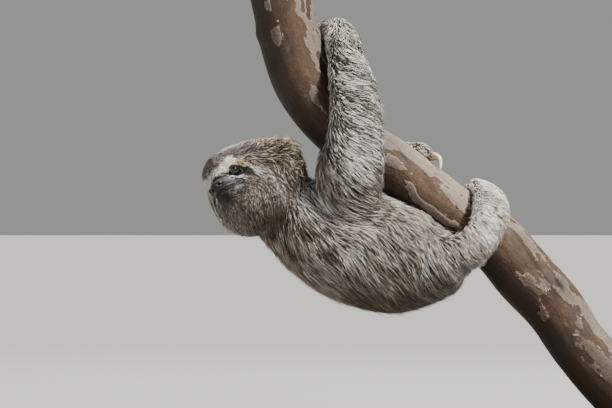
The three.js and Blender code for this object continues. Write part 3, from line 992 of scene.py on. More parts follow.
skin.data.calc_loop_triangles()
skin_faces = np.empty(len(skin.data.loop_triangles) * 3, int)
skin.data.loop_triangles.foreach_get("vertices", skin_faces)
skin_faces = skin_faces.reshape(-1, 3)
corner = skin_points[skin_faces]
face_area = np.linalg.norm(np.cross(corner[:, 1] - corner[:, 0], corner[:, 2] - corner[:, 0]), axis=1) / 2
face_open = 1 - smoothstep(0.35, 0.6, skin_bare[skin_faces].mean(axis=1))
expected = face_area / MM ** 2 * skin_coat[skin_faces, 3].mean(axis=1) * face_open * THIN
lock_total = int(expected.sum())
picked = np.searchsorted(np.cumsum(expected) / expected.sum(), rng.random(lock_total))
share = rng.random((lock_total, 2))
share = np.where(share.sum(axis=1, keepdims=True) > 1, 1 - share, share)
share = np.column_stack([1 - share.sum(axis=1), share])


def spread(values):
    """Values of the skin's points, blended to the roots of the locks."""
    columns = values.reshape(len(values), -1)[skin_faces[picked]]
    return (columns * share[:, :, None]).sum(axis=1)


roots = spread(skin_points)
root_owner = skin_owner[skin_faces[picked, 0]]
root_coat = spread(skin_coat)
# each lock takes its paint from a millimetre or so beside its root, which feathers every edge
strayed = roots + rng.normal(0, 1, (lock_total, 3)) * (0.06 + 0.07 * root_coat[:, 1:2]) * MM
root_dark, root_pale = coat_colours(strayed, root_owner)
print("locks:", lock_total, "on", round(face_area.sum() / MM ** 2), "square mm of skin")


# %% [markdown]
# Fur breaks into tufts, because neighbouring hairs cling together. A few thousand seeds are chosen among
# the roots, every lock belongs to its nearest seed, and its tip is drawn towards that seed's tip. The
# gaps that open between tufts are dark, and they give the coat its depth.

# %% Walk each lock along the skin
skin_tree = BVHTree.FromPolygons(skin_points.tolist(), skin_faces.tolist())
branch_tree, _ = solids_tree(["branch"])
STEPS = (0.0, 0.34, 0.68, 1.0)
RISE = (-0.08, 0.74, 0.97, 0.99)
TUFT_MM = 3.8
CLING = 0.40
GUARD_SHARE = 0.045
CLEAR_OF_BARK = 0.4 * MM
# where the near leg faces the branch, seen from the side in mm, and its half size
INNER_LEG = ((38, 256), (18, 34))

on_head = on_parts(root_owner, "head")
turn, rise, ahead = head_angles(roots)
mane = on_head * smoothstep(66, 86, ahead) * smoothstep(-40, -10, rise)
wild = 0.12 + 0.68 * mane + 0.04 * (root_coat[:, 1] > 12)
guard = rng.random(lock_total) < GUARD_SHARE * (root_coat[:, 1] > 7)
length = root_coat[:, 1] * MM * rng.uniform(0.72, 1.18, lock_total) * (1 + 0.4 * guard)
height = spread(skin_gap)[:, 0] * (1.04 - 0.62 * rng.random(lock_total) ** 1.4)
# tufts on the inner side of the near leg reach out over the branch
inner_leg = np.clip(-spread(skin_normals)[:, 0], 0, 1) * on_parts(root_owner, *NEAR_LEG)
inner_leg = inner_leg * local_bump(roots, *INNER_LEG)
height = height + 6 * MM * inner_leg * rng.random(lock_total)
tip_rise = 1.0 + rng.normal(0, 0.05, lock_total) + 0.26 * mane * rng.random(lock_total) + 0.30 * guard
wander = rng.normal(0, 1, lock_total) * wild + noise(roots, 19, 3) * 0.30 + noise(roots, 7, 4) * 0.16
first_lie = unit(spread(skin_lie))
face_lie = skin_lie[skin_faces].mean(axis=1)


def walk(start, lie, size, lift, sway, tip):
    """Places and normals along one lock."""
    surface, normal, face, _ = skin_tree.find_nearest(start)
    places = [surface + normal * (lift * RISE[0])]
    normals = [normal]
    way = Vector(lie)
    for number in (1, 2, 3):
        fresh = Vector(face_lie[face])
        way = (way + fresh * 0.8).normalized()
        way = (way - normal * way.dot(normal)).normalized()
        turned = way + normal.cross(way) * sway
        surface = surface + turned.normalized() * (size * (STEPS[number] - STEPS[number - 1]))
        surface, normal, face, _ = skin_tree.find_nearest(surface)
        placed = surface + normal * (lift * RISE[number] * (tip if number == 3 else 1.0))
        bark, bark_normal, _, _ = branch_tree.find_nearest(placed, 20 * MM)
        if bark is not None and (placed - bark).dot(bark_normal) < CLEAR_OF_BARK:
            placed = bark + bark_normal * CLEAR_OF_BARK
        places.append(placed)
        normals.append(normal)
    return places, normals


paths = np.empty((lock_total, 4, 3))
path_normals = np.empty((lock_total, 4, 3))
for number in range(lock_total):
    places, normals = walk(roots[number], first_lie[number], length[number], height[number], wander[number],
                           tip_rise[number])
    paths[number] = places
    path_normals[number] = normals

seed_count = max(int((face_area.sum() / MM ** 2) / TUFT_MM ** 2), 50)
seeds = rng.choice(lock_total, min(seed_count, lock_total), replace=False)
seed_tree = kdtree.KDTree(len(seeds))
for index, seed in enumerate(seeds):
    seed_tree.insert(roots[seed], index)
seed_tree.balance()
own_seed = np.array([seed_tree.find(root)[1] for root in roots])
seed_path = paths[seeds[own_seed]]
cling = CLING * rng.uniform(0.5, 1.3, lock_total) * (1 - 0.4 * on_head) * (1 - guard)
near_seed = hump(np.linalg.norm(seed_path[:, 0] - roots, axis=1), 0, 7 * MM)
pull = (cling * near_seed)[:, None, None] * (np.array(STEPS) ** 1.5)[None, :, None]
size_ratio = (length / np.maximum(length[seeds[own_seed]], 1e-6))[:, None, None]
target = seed_path[:, :1] + (seed_path - seed_path[:, :1]) * np.clip(size_ratio, 0.6, 1.4)
paths += (target - paths) * pull
print("tufts:", len(seeds), "locks in each:", round(lock_total / len(seeds), 1))


# %% [markdown]
# Now the paths become solids. A lock is rings of three corners, two on the skin side and one ridge, and
# a tip. On the shaggy mane it has three rings, which is sixteen triangles. Everywhere else two rings and
# ten triangles do. All locks of a region are joined in one mesh, and the arrays go into it in single
# calls. Each lock also gets a tiny patch of the region's unwrap, laid out round the region's own long
# axis, so that it can carry its own colours.

# %% Locks to meshes
WIDTH_ALONG = (0.62, 1.0, 0.66)
RIDGE = 0.42
PATCH = 0.003


def lock_form(rings):
    """Sides and ends of one lock of so many rings of three and a tip."""
    sides, ends = [], [(2, 1, 0)]
    for ring in range(rings - 1):
        a = ring * 3
        sides += [(a + i, a + (i + 1) % 3, a + 3 + (i + 1) % 3, a + 3 + i) for i in range(3)]
    last = (rings - 1) * 3
    ends += [(last + i, last + (i + 1) % 3, last + 3) for i in range(3)]
    return np.array(sides), np.array(ends)


def lock_corners(path, normal, width, widths):
    """Corners for every lock: rings of three and the tip."""
    rings = len(widths)
    corners = np.empty((len(path), rings * 3 + 1, 3))
    for ring in range(rings):
        along = unit(path[:, ring + 1] - path[:, max(ring - 1, 0)])
        side = unit(np.cross(along, normal[:, ring]))
        over = np.cross(side, along)
        half = (width * widths[ring] * 0.5)[:, None]
        corners[:, ring * 3] = path[:, ring] - side * half
        corners[:, ring * 3 + 1] = path[:, ring] + side * half
        corners[:, ring * 3 + 2] = path[:, ring] + over * half * 2 * RIDGE
    corners[:, rings * 3] = path[:, rings]
    return corners


def unwrap(points, axis, middle, low, high):
    """Round the region's long axis, and along it."""
    rest = points - middle
    side = unit(np.cross(axis, [0.13, 0.97, 0.21]))
    other = np.cross(axis, side)
    angle = np.arctan2(rest @ other, rest @ side) / (2 * math.pi) + 0.5
    along = (rest @ axis - low) / (high - low)
    return np.stack([0.01 + 0.98 * angle, 0.01 + 0.98 * np.clip(along, 0, 1)], axis=1)


def coat_mesh(name, chosen, short):
    """All locks of a piece in one mesh. A short lock leaves out the ring before its tip."""
    stops = (0, 1, 3) if short else (0, 1, 2, 3)
    widths = [WIDTH_ALONG[stop] for stop in stops[:-1]]
    sides, ends = lock_form(len(widths))
    count, each = len(chosen), len(widths) * 3 + 1
    width = root_coat[chosen, 2] * MM * rng.uniform(0.75, 1.2, count) * (1 - 0.4 * guard[chosen])
    corners = lock_corners(paths[chosen][:, stops], path_normals[chosen][:, stops], width, widths)
    first = (np.arange(count) * each)[:, None, None]
    loops = np.concatenate([(sides[None] + first).reshape(-1), (ends[None] + first).reshape(-1)])
    mesh = bpy.data.meshes.new(name)
    mesh.vertices.add(count * each)
    mesh.vertices.foreach_set("co", corners.reshape(-1))
    mesh.loops.add(len(loops))
    mesh.loops.foreach_set("vertex_index", loops)
    mesh.polygons.add(count * (len(sides) + len(ends)))
    quads = count * len(sides)
    starts = np.concatenate([np.arange(quads) * 4, quads * 4 + np.arange(count * len(ends)) * 3])
    mesh.polygons.foreach_set("loop_start", starts)
    mesh.update(calc_edges=True)
    smooth_shading(mesh)
    return mesh, stops


for rings in (3, 2):
    sides, ends = lock_form(rings)
    print("a lock of", rings, "rings has", len(sides) * 2 + len(ends), "triangles")


# %% [markdown]
# The colour of a lock is banded as a real hair is. Its root is dark, its middle takes the tone of the
# tuft, and its tip is pale. Tones vary in three steps: in streaks along the lie, from tuft to tuft and
# from lock to lock, which gives the salt-and-pepper of a wild coat without any picture of one.

# %% Tint the locks and make the pieces
DARK_SHARE = 0.41
DARK_TONE, PALE_TONE = -3.5, 1.15
tuft_tone = rng.normal(0, 1, len(seeds))
on_face = on_head * inside(ahead - 48, 8)


# noise at the roots, drawn out along the lie into streaks
streaky = sum(noise(roots + first_lie * (step * MM), 8, 5) for step in range(-18, 19, 6)) / 3.2
wavy = np.clip(1.7 * streaky, -1, 1) * (1 - on_head)
shaggy = on_head * smoothstep(58, 74, ahead) * smoothstep(-36, -8, rise)
near_arm = on_parts(root_owner, *NEAR_ARM)
# painted sunlight: the near shank and foot get fewer dark locks and a steadier tone
sunny_leg = on_parts(root_owner, "shank_right", "foot_right")
dark_share = DARK_SHARE - 0.15 * wavy + 0.06 * near_arm + 0.30 * shaggy - 0.08 * on_face - 0.33 * sunny_leg
under_hair = rng.random(lock_total) < dark_share
tone = 0.28 * tuft_tone[own_seed] + 0.55 * rng.normal(0, 1, lock_total) * (1 - 0.4 * sunny_leg)
tone = tone + 0.62 * wavy + 0.6 * shaggy * rng.normal(0, 1, lock_total)
tone = tone + np.where(under_hair, DARK_TONE, PALE_TONE) * (1 - 0.25 * on_face) + 0.8 * guard
# painted shade darkens the locks low on the body, and painted sunlight lightens the near arm and the near
# thigh
tone = tone - 0.35 * smoothstep(0.215, 0.160, roots[:, 2]) * (1 - near_arm) + 0.42 * near_arm
tone = tone + 0.25 * on_parts(root_owner, "thigh_right") - 0.12 * on_head * (1 - shaggy)
brightness = np.exp(0.62 * tone)
BAND = (0.0, 0.34, 0.84, 1.12)


def lock_tints(chosen, stops):
    dark, pale = root_dark[chosen], root_pale[chosen]
    bright = brightness[chosen][:, None]
    rows = []
    for stop in stops:
        mixed = np.clip(dark + (pale * bright - dark) * BAND[stop], 0.004, 0.9)
        rows += [mixed] * (1 if stop == stops[-1] else 3)
    return np.stack(rows, axis=1)


hair, tree, shader = new_material("banded_guard_hair", 0.40, 1.55, Specular_IOR_Level=0.6)
tint = add(tree, "ShaderNodeAttribute", {"attribute_name": "tint"})
place = add(tree, "ShaderNodeTexCoord").outputs["Object"]
strand = add(tree, "ShaderNodeTexNoise", Vector=place, Scale=1000 / 1.6, Detail=3.0, Roughness=0.65)
streak = add(tree, "ShaderNodeMapRange", Value=strand.outputs["Fac"], From_Min=0.3, From_Max=0.7,
             To_Min=0.80, To_Max=1.22)
streaked = add(tree, "ShaderNodeVectorMath", {"operation": "SCALE"}, i0=tint.outputs["Color"],
               Scale=streak.outputs["Result"])
relief = add(tree, "ShaderNodeBump", Strength=0.25, Distance=0.15 * MM, Height=strand.outputs["Fac"])
give(shader, Base_Color=streaked.outputs["Vector"], Normal=relief.outputs["Normal"])

# the most locks in one piece, for long and for short ones, keeps it under 200,000 triangles
MOST_LOCKS = {False: 12000, True: 19000}
FEWEST_LOCKS = 40
LONG_ON_MANE = 0.4
coat_pieces = []
REGIONS = {"coat_head": ("head",), "coat_ears": ("ear",), "coat_neck": ("neck",),
           "coat_trunk": ("trunk",), "coat_tail": ("tail",)}
for side in ("right", "left"):
    REGIONS[f"coat_arm_{side}"] = (f"upper_arm_{side}", f"forearm_{side}")
    REGIONS[f"coat_hand_{side}"] = (f"hand_{side}",)
    REGIONS[f"coat_leg_{side}"] = (f"thigh_{side}", f"shank_{side}")
    REGIONS[f"coat_foot_{side}"] = (f"foot_{side}",)

regions = [(region, nodes, short) for region, nodes in REGIONS.items() for short in (False, True)]
for region, nodes, short in regions:
    chosen = np.flatnonzero(on_parts(root_owner, *nodes) & ((mane < LONG_ON_MANE) == short))
    if len(chosen) < FEWEST_LOCKS:
        continue
    region = f"{region}_short" if short else region
    places = roots[chosen]
    middle = places.mean(axis=0)
    axis = np.linalg.svd(places - middle, full_matrices=False)[2][0]
    chosen = chosen[np.argsort((places - middle) @ axis)]
    pieces = math.ceil(len(chosen) / MOST_LOCKS[short])
    for number, part in enumerate(np.array_split(chosen, pieces)):
        name = region if pieces == 1 else f"{region}_{number + 1}"
        mesh, stops = coat_mesh(name, part, short)
        paint_points(mesh, lock_tints(part, stops).reshape(-1, 3))
        reach = (roots[part] - middle) @ axis
        spot = unwrap(roots[part], axis, middle, reach.min() - MM, reach.max() + MM)
        patch = [(side, STEPS[stop]) for stop in stops[:-1] for side in (0, 1, 0.5)] + [(0.5, 1.0)]
        patch = np.array(patch) - 0.5
        patched = (spot[:, None, :] + patch[None] * PATCH).reshape(-1, 2)
        order = np.empty(len(mesh.loops), int)
        mesh.loops.foreach_get("vertex_index", order)
        mesh.uv_layers.new(name="OFBake").data.foreach_set("uv", patched[order].ravel())
        mesh.materials.append(hair)
        piece = new_object(name, mesh)
        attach(piece, "root")
        coat_pieces.append(piece)
coat_triangles = sum(len(piece.data.loops) - 2 * len(piece.data.polygons) for piece in coat_pieces)
print("coat pieces:", len(coat_pieces), "triangles:", coat_triangles)


# %% [markdown]
# A sloth's eye is nearly all iris, deep brown with a black pupil, under a clear cornea that bulges a
# little and is always wet. The ball is a fine grid of rings round the line of sight, so its colours can
# follow the angle from that line: pupil, iris with faint spokes, dark rim, brownish white. The cornea is
# the clear coat of the material over a bulge of a third of a millimetre.

# %% Eyes
EYE_RINGS = 40
EYE_SPOKES = 64
CORNEA_DEGREES = 42
CORNEA_BULGE = 0.35


def ring_ball(rings, spokes):
    """Directions of a ball from its front pole to its back pole, and its faces."""
    tilt = np.linspace(0, math.pi, rings + 1)[1:-1]
    turn = np.linspace(0, 2 * math.pi, spokes, endpoint=False)
    tilt, turn = np.meshgrid(tilt, turn, indexing="ij")
    body = np.stack([np.sin(tilt) * np.cos(turn), np.cos(tilt), np.sin(tilt) * np.sin(turn)], axis=-1)
    points = np.concatenate([[[0, 1, 0]], body.reshape(-1, 3), [[0, -1, 0]]])
    faces = []
    for spoke in range(spokes):
        after = (spoke + 1) % spokes
        faces.append((0, 1 + spoke, 1 + after))
        for ring in range(rings - 2):
            base = 1 + ring * spokes
            faces.append((base + spoke, base + spokes + spoke, base + spokes + after, base + after))
        base = 1 + (rings - 2) * spokes
        faces.append((base + spoke, len(points) - 1, base + after))
    return points, faces


def outward(mesh):
    turned = bmesh.new()
    turned.from_mesh(mesh)
    bmesh.ops.recalc_face_normals(turned, faces=turned.faces)
    turned.to_mesh(mesh)
    turned.free()
    smooth_shading(mesh)


eye_finish, tree, shader = new_material("wet_brown_eye", 0.3, 1.38, Coat_Weight=1.0, Coat_Roughness=0.10,
                                        Coat_IOR=1.6, Specular_IOR_Level=0.1)
sight = add(tree, "ShaderNodeAttribute", {"attribute_name": "sight"})
spokes = add(tree, "ShaderNodeAttribute", {"attribute_name": "spokes"})
fibres = add(tree, "ShaderNodeTexNoise", Vector=spokes.outputs["Vector"], Scale=7.0, Detail=4.0)
angle = add(tree, "ShaderNodeMath", {"operation": "MULTIPLY_ADD"}, i0=fibres.outputs["Fac"], i1=5.0,
            i2=sight.outputs["Fac"])
share = add(tree, "ShaderNodeMath", {"operation": "DIVIDE"}, i0=angle.outputs["Value"], i1=90.0)
iris = add(tree, "ShaderNodeValToRGB", Fac=share.outputs["Value"])
set_bands(iris.color_ramp, ((0.0, "#030202"), (0.20, "#040303"), (0.235, "#0e0a08"), (0.36, "#17100c"),
                            (0.47, "#0e0a08"), (0.55, "#070505"), (0.72, "#120e0c"), (1.0, "#1e1816")))
give(shader, Base_Color=iris.outputs["Color"])

for name, side in (("eye_left", 1), ("eye_right", -1)):
    way, faces = ring_ball(EYE_RINGS, EYE_SPOKES)
    gaze = EYE_OUT * [side, 1, 1]
    across_gaze = unit(np.cross(gaze, [0, 0, 1]))
    above_gaze = np.cross(across_gaze, gaze)
    from_gaze = np.degrees(np.arccos(np.clip(way[:, 1], -1, 1)))
    in_cornea = inside(from_gaze - CORNEA_DEGREES * 0.7, CORNEA_DEGREES * 0.3)
    reach = (EYE_RADIUS - 0.1) + CORNEA_BULGE * in_cornea
    turned = way[:, :1] * across_gaze + way[:, 1:2] * gaze + way[:, 2:] * above_gaze
    places = EYE_SET * [side, 1, 1] + turned * reach[:, None]
    mesh = bpy.data.meshes.new(f"{name}_ball")
    mesh.from_pydata(from_head(places).tolist(), [], faces)
    outward(mesh)
    write_values(mesh, "sight", from_gaze)
    ring_turn = np.stack([way[:, 0], way[:, 2], from_gaze / 120], axis=1)
    ring_turn[:, :2] = unit(ring_turn[:, :2]) * 1.5
    write_values(mesh, "spokes", ring_turn, "FLOAT_VECTOR")
    mesh.materials.append(eye_finish)
    ball = new_object(f"{name}_ball", mesh)
    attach(ball, "root")
    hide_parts(name)
print("eyes:", 2 * EYE_RADIUS, "mm across")


# %% [markdown]
# The nose pad is bare, black-grey and pebbled, with two comma-shaped nostrils that open to the sides and
# a shallow groove down the middle. It is the same ball of rings, pressed to the pad's half sizes, with
# its front grid moved in code: pits for the nostrils, a rim round each, and the groove between them.

# %% Nose pad
NOSE_HALF = np.array([8.4, 5.5, 5.4])
NOSE_RINGS = 88
NOSE_SPOKES = 120
NOSTRIL = (4.7, -1.7)
NOSTRIL_TAIL = (6.5, -2.8)
way, faces = ring_ball(NOSE_RINGS, NOSE_SPOKES)
places = np.sign(way) * np.abs(way) ** 0.93 * NOSE_HALF
front = smoothstep(0.05, 0.45, way[:, 1])
across, high = places[:, 0], places[:, 2]
places[:, 0] *= 1 - 0.20 * smoothstep(1, -5, high)
pit = np.hypot((np.abs(across) - NOSTRIL[0]) / 1.75, (high - NOSTRIL[1]) / 1.25)
tail = np.hypot((np.abs(across) - NOSTRIL_TAIL[0]) / 1.7, (high - NOSTRIL_TAIL[1]) / 0.7)
hollow = np.maximum(inside(pit - 0.85, 0.35) * 3.4, inside(tail - 0.85, 0.4) * 1.3)
rim = 0.06 * hump(np.minimum(pit, tail + 0.2), 1.45, 0.35)
groove = 0.7 * hump(across, 0, 0.45) * smoothstep(1.5, -2.0, high)
places[:, 1] += (rim - hollow - groove) * front
places[:, 1] += 0.5 * hump(high, 3.2, 1.4) * front
nose_mesh = bpy.data.meshes.new("nose_pad")
nose_mesh.from_pydata(from_head(places + NOSE_PLACE - [0, 0.4, 0]).tolist(), [], faces)
outward(nose_mesh)
write_values(nose_mesh, "pit", np.clip(hollow * front / 2.2, 0, 1))
# painted light and shade on the pad: paler blue-grey on top, partly a painted highlight, and black below as
# painted shade
write_values(nose_mesh, "over", smoothstep(-0.8, 4.8, high))

nose_finish, tree, shader = new_material("moist_nose_leather", 0.50, 1.42, Coat_Weight=0.08,
                                         Coat_Roughness=0.35)
place = add(tree, "ShaderNodeTexCoord").outputs["Object"]
pebbles = add(tree, "ShaderNodeTexVoronoi", {"feature": "SMOOTH_F1"}, Vector=place, Scale=1000 / 0.7)
soft = add(tree, "ShaderNodeTexNoise", Vector=place, Scale=1000 / 4, Detail=4.0)
over = add(tree, "ShaderNodeAttribute", {"attribute_name": "over"})
# black below as painted shade, blue-grey on top partly as a painted highlight
lit = add(tree, "ShaderNodeMix", {"data_type": "RGBA"}, i0=over.outputs["Fac"], i6=rgba("#161515"),
          i7=rgba("#55545a"))
uneven = add(tree, "ShaderNodeMapRange", Value=soft.outputs["Fac"], From_Min=0.3, From_Max=0.7, To_Min=0.75,
             To_Max=1.2)
varied = add(tree, "ShaderNodeVectorMath", {"operation": "SCALE"}, i0=lit.outputs[2],
             Scale=uneven.outputs["Result"])
pit_value = add(tree, "ShaderNodeAttribute", {"attribute_name": "pit"})
dark = add(tree, "ShaderNodeMix", {"data_type": "RGBA"}, i0=pit_value.outputs["Fac"],
           i6=varied.outputs["Vector"], i7=rgba("#080707"))
relief = add(tree, "ShaderNodeBump", Strength=0.5, Distance=0.2 * MM, Height=pebbles.outputs["Distance"])
give(shader, Base_Color=dark.outputs[2], Normal=relief.outputs["Normal"])
nose_mesh.materials.append(nose_finish)
nose_pad = new_object("nose_pad", nose_mesh)
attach(nose_pad, "root")
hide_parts("nose")
print("nose pad:", NOSE_HALF * 2, "mm")


# %% [markdown]
# Claws are horn: long fibres grown out of the toe, darker and ringed at the root, paler and polished
# towards the tip. The solids already have the right curve, so each is copied, its loose triangles are
# merged, and two rounds of subdivision take its facets away. A number from root to tip drives the colour.

# %% Claws
horn, tree, shader = new_material("claw_horn", 0.38, 1.54, Coat_Weight=0.25, Coat_Roughness=0.25)
outward_share = add(tree, "ShaderNodeAttribute", {"attribute_name": "root_to_tip"})
place = add(tree, "ShaderNodeTexCoord").outputs["Object"]
fibre = add(tree, "ShaderNodeTexNoise", Vector=place, Scale=1000 / 1.2, Detail=5.0, Roughness=0.6)
along = add(tree, "ShaderNodeMath", {"operation": "MULTIPLY_ADD"}, i0=fibre.outputs["Fac"], i1=0.30,
            i2=outward_share.outputs["Fac"])
growth = add(tree, "ShaderNodeValToRGB", Fac=along.outputs["Value"])
set_bands(growth.color_ramp, ((0.0, "#4b3d2e"), (0.28, "#8a7355"), (0.62, "#c9b491"), (1.0, "#e2d6bd")))
relief = add(tree, "ShaderNodeBump", Strength=0.3, Distance=0.15 * MM, Height=fibre.outputs["Fac"])
give(shader, Base_Color=growth.outputs["Color"], Normal=relief.outputs["Normal"])

for node in CLAWS:
    grown = merged_copy(node)
    mesh = bpy.data.meshes.new(f"{node}_horn")
    grown.to_mesh(mesh)
    grown.free()
    piece = new_object(mesh.name, mesh)
    finer = piece.modifiers.new("round", "SUBSURF")
    finer.levels = 2
    finer.render_levels = 2
    bake_modifiers(piece)
    smooth_shading(piece.data)
    points = read_points(piece.data)
    limb_middle = box_middle(node.replace("claw_", "").rsplit("_", 1)[0])
    away = np.linalg.norm(points - limb_middle, axis=1)
    share = (away - away.min()) / (away.max() - away.min())
    write_values(piece.data, "root_to_tip", share)
    piece.data.materials.clear()
    piece.data.materials.append(horn)
    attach(piece, "root")
    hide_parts(node)
print("claws:", len(CLAWS))


# %% [markdown]
# The branch is smooth bark that sheds in thin plates: a pale, pinkish-grey outer layer with ragged
# edges over warm red-brown and ochre inner bark. It is one tube, because a tube knows how far along and
# how far round each point is. Everything that the bark does follows those two numbers: ribs run along,
# plates end in ragged steps, and the upper side, which gets the sun, is the palest.

# %% The tube of the branch
# x, y, z and radius of the branch in mm, from its upper end to its lower end
BRANCH = np.array([
    (-155, 0, 480, 31), (-149, 0, 453, 31), (-142, 1, 423, 31.5), (-131, 1, 390, 31), (-116, 0, 365, 29.5),
    (-94, -1, 340, 28.5), (-70, -1, 321, 28), (-43, 0, 304, 27.5), (-5, 0, 275, 27.5), (24, 1, 252, 28.5),
    (61, 1, 228, 30), (92, 0, 193, 31), (121, 0, 161, 30.5), (143, -1, 127, 29.5), (164, -1, 101, 30),
    (192, 0, 70, 30), (204, 0, 56, 30),
], float)
BARK_STEP = 1.5
AROUND = 124
# the knot's place seen from the side in mm, and its lean in degrees
KNOT = (126, 186)
KNOT_LEAN = 62
# middle and half size of a bud along x, y and z in mm
BUD = ((-183, 7), (0, 9), (433, 8))


def smooth_path(stations, step):
    """Points along a smooth curve through the stations, and their distance along it."""
    reach = np.r_[0, np.cumsum(np.linalg.norm(np.diff(stations[:, :3], axis=0), axis=1))]
    slope = np.gradient(stations, reach, axis=0)
    along = np.linspace(0, reach[-1], int(reach[-1] / step))
    low = np.clip(np.searchsorted(reach, along, "right") - 1, 0, len(reach) - 2)
    span = (reach[low + 1] - reach[low])[:, None]
    t = (along - reach[low])[:, None] / span
    ahead_share = t * t * (3 - 2 * t)
    path = stations[low] * (1 - ahead_share) + stations[low + 1] * ahead_share
    path = path + span * t * (1 - t) * ((1 - t) * slope[low] - t * slope[low + 1])
    return path, along


bark_path, bark_along = smooth_path(BRANCH, BARK_STEP)
tangent = unit(np.gradient(bark_path[:, :3], axis=0))
away = np.array([0.0, 1.0, 0.0])
upper = unit(np.cross(tangent, away))
upper *= np.sign(upper[:, 2:3])
far = np.cross(upper, tangent)
far *= np.sign(far[:, 1:2])
angle = np.linspace(0, 2 * math.pi, AROUND, endpoint=False)
out = np.cos(angle)[:, None] * upper[:, None] + np.sin(angle)[:, None] * far[:, None]
middle = bark_path[:, None, :3]
radius = bark_path[:, None, 3:]
# the grain space: along the branch, and the two directions across it, in metres
grain = np.concatenate([np.broadcast_to(bark_along[:, None, None], out.shape[:2] + (1,)),
                        out @ away[:, None] * radius,
                        (out * upper[:, None]).sum(axis=2, keepdims=True) * radius], axis=2) * MM
round_points = (middle + out * radius) * MM


def blemish(x, z, long, wide, lean):
    """How near each point of the near side is to a mark at x, z in mm: 1 in its middle, 0 outside."""
    lean = math.radians(lean)
    right = round_points[..., 0] / MM - x
    down = z - round_points[..., 2] / MM
    run = right * math.cos(lean) + down * math.sin(lean)
    side = -right * math.sin(lean) + down * math.cos(lean)
    return hump(run, 0, long) * hump(side, 0, wide) * (out[..., 1] < 0.3)


flat_grain = grain.reshape(-1, 3)
stretched = flat_grain * [0.42, 1, 1]
up = (out * upper[:, None]).sum(axis=2)
shape = out.shape[:2]
plates = noise(stretched, 15, 6) + 0.55 * noise(stretched, 6.5, 7) + 0.3 * noise(stretched, 3, 8)
plates = plates.reshape(shape)
along_mm = bark_along[:, None]
# the plates are painted thicker on the upper side as painted sunlight, and thinner on the underside, along a
# stretch near the upper end and towards both ends as painted shade
sunny = 0.50 * up - 0.30 * smoothstep(0.1, -0.7, up)
sunny = sunny - 0.42 * smoothstep(45, 85, along_mm) * smoothstep(215, 180, along_mm)
sunny = sunny - 0.10 * smoothstep(60, 20, along_mm) - 0.12 * smoothstep(330, 420, along_mm)
plates = plates + sunny - 0.06
ribs, lumps, rough = (noise(flat_grain * [stretch, 1, 1], size, seed).reshape(shape)
                      for stretch, size, seed in ((0.10, 7, 9), (0.6, 38, 10), (0.5, 3.2, 11)))
scar = blemish(*KNOT, 9, 3.6, KNOT_LEAN)
scar_rim = blemish(*KNOT, 14, 7.5, KNOT_LEAN) - scar
furrow = blemish(99, 207, 34, 2.6, 60)
crack = blemish(-31, 314, 7, 0.9, 58)
bud = np.prod([hump(round_points[..., axis] / MM, middle_mm, half)
               for axis, (middle_mm, half) in enumerate(BUD)], axis=0)
relief_mm = (0.55 * lumps + 0.32 * ribs + 0.10 * rough + 0.42 * smoothstep(0.02, 0.14, plates)
             - 2.0 * scar + 1.1 * scar_rim - 1.5 * furrow - 0.9 * crack + 4.2 * bud - 0.6)
bark_points = (middle + out * (radius + relief_mm[..., None])) * MM
print("bark relief from", round(relief_mm.min(), 1), "to", round(relief_mm.max(), 1), "mm")


# %% [markdown]
# Each end is sawn across. A flat end would show as a single fan of triangles, so it is built from rings
# that close towards the middle, slightly uneven as a saw leaves it, and it carries the wood's own rings.

# %% Join the tube and its sawn ends
END_RINGS = 14
# painted shade: the bark is darkened, unevenly, over its upper stretch and towards its lower end
weathered = 0.58 * smoothstep(250, 190, along_mm) + 0.85 * smoothstep(330, 400, along_mm)
weathered = weathered * (0.85 + 0.45 * noise(flat_grain * [0.5, 1, 1], 22, 13).reshape(shape))
marks = scar + 0.55 * furrow + crack + 0.5 * (bud > 0.7)
# what each point of the tube carries; the rings of the sawn ends get the same from the tube's last row
on_bark = {"place": bark_points, "plates": plates, "upper_side": up, "grain": grain, "sawn": np.zeros(shape),
           "marks": np.clip(marks, 0, 1), "weathered": np.clip(weathered, 0, 1)}
rows = {name: [values] for name, values in on_bark.items()}
for end, order in ((0, -1), (-1, 1)):
    shrink = np.linspace(1, 0.02, END_RINGS + 1)[1:][:, None, None]
    centre = bark_path[end, :3] * MM
    caps = centre + (bark_points[end][None] - centre) * shrink
    saw = noise(caps.reshape(-1, 3), 5, 12).reshape(END_RINGS, AROUND)
    caps = caps + tangent[end] * (saw * 0.12 * MM)[..., None]
    whole = np.ones((END_RINGS, AROUND))
    on_cap = {"place": caps, "plates": whole * plates[end], "upper_side": whole * up[end],
              "grain": grain[end] * shrink, "sawn": whole, "marks": whole * 0, "weathered": whole * 0}
    for name, values in on_cap.items():
        rows[name].insert(0 if end == 0 else len(rows[name]), values[::order])
tube = {name: np.concatenate(stack) for name, stack in rows.items()}
tube_rows = len(tube["place"])
row_index = np.arange(tube_rows - 1)[:, None] * AROUND
column = np.arange(AROUND)[None]
after = (column + 1) % AROUND
quads = np.stack([row_index + column, row_index + after, row_index + AROUND + after,
                  row_index + AROUND + column], axis=-1).reshape(-1, 4)
lids = [list(range(AROUND)), [(tube_rows - 1) * AROUND + i for i in range(AROUND)]]
bark_mesh = bpy.data.meshes.new("branch_bark")
bark_mesh.from_pydata(tube["place"].reshape(-1, 3).tolist(), [], quads.tolist() + lids)
outward(bark_mesh)
for name in ("plates", "upper_side", "sawn", "marks", "weathered"):
    write_values(bark_mesh, name, tube[name])
write_values(bark_mesh, "grain", tube["grain"] / MM, "FLOAT_VECTOR")
print("branch:", len(bark_mesh.polygons), "faces,", round(bark_along[-1]), "mm long")
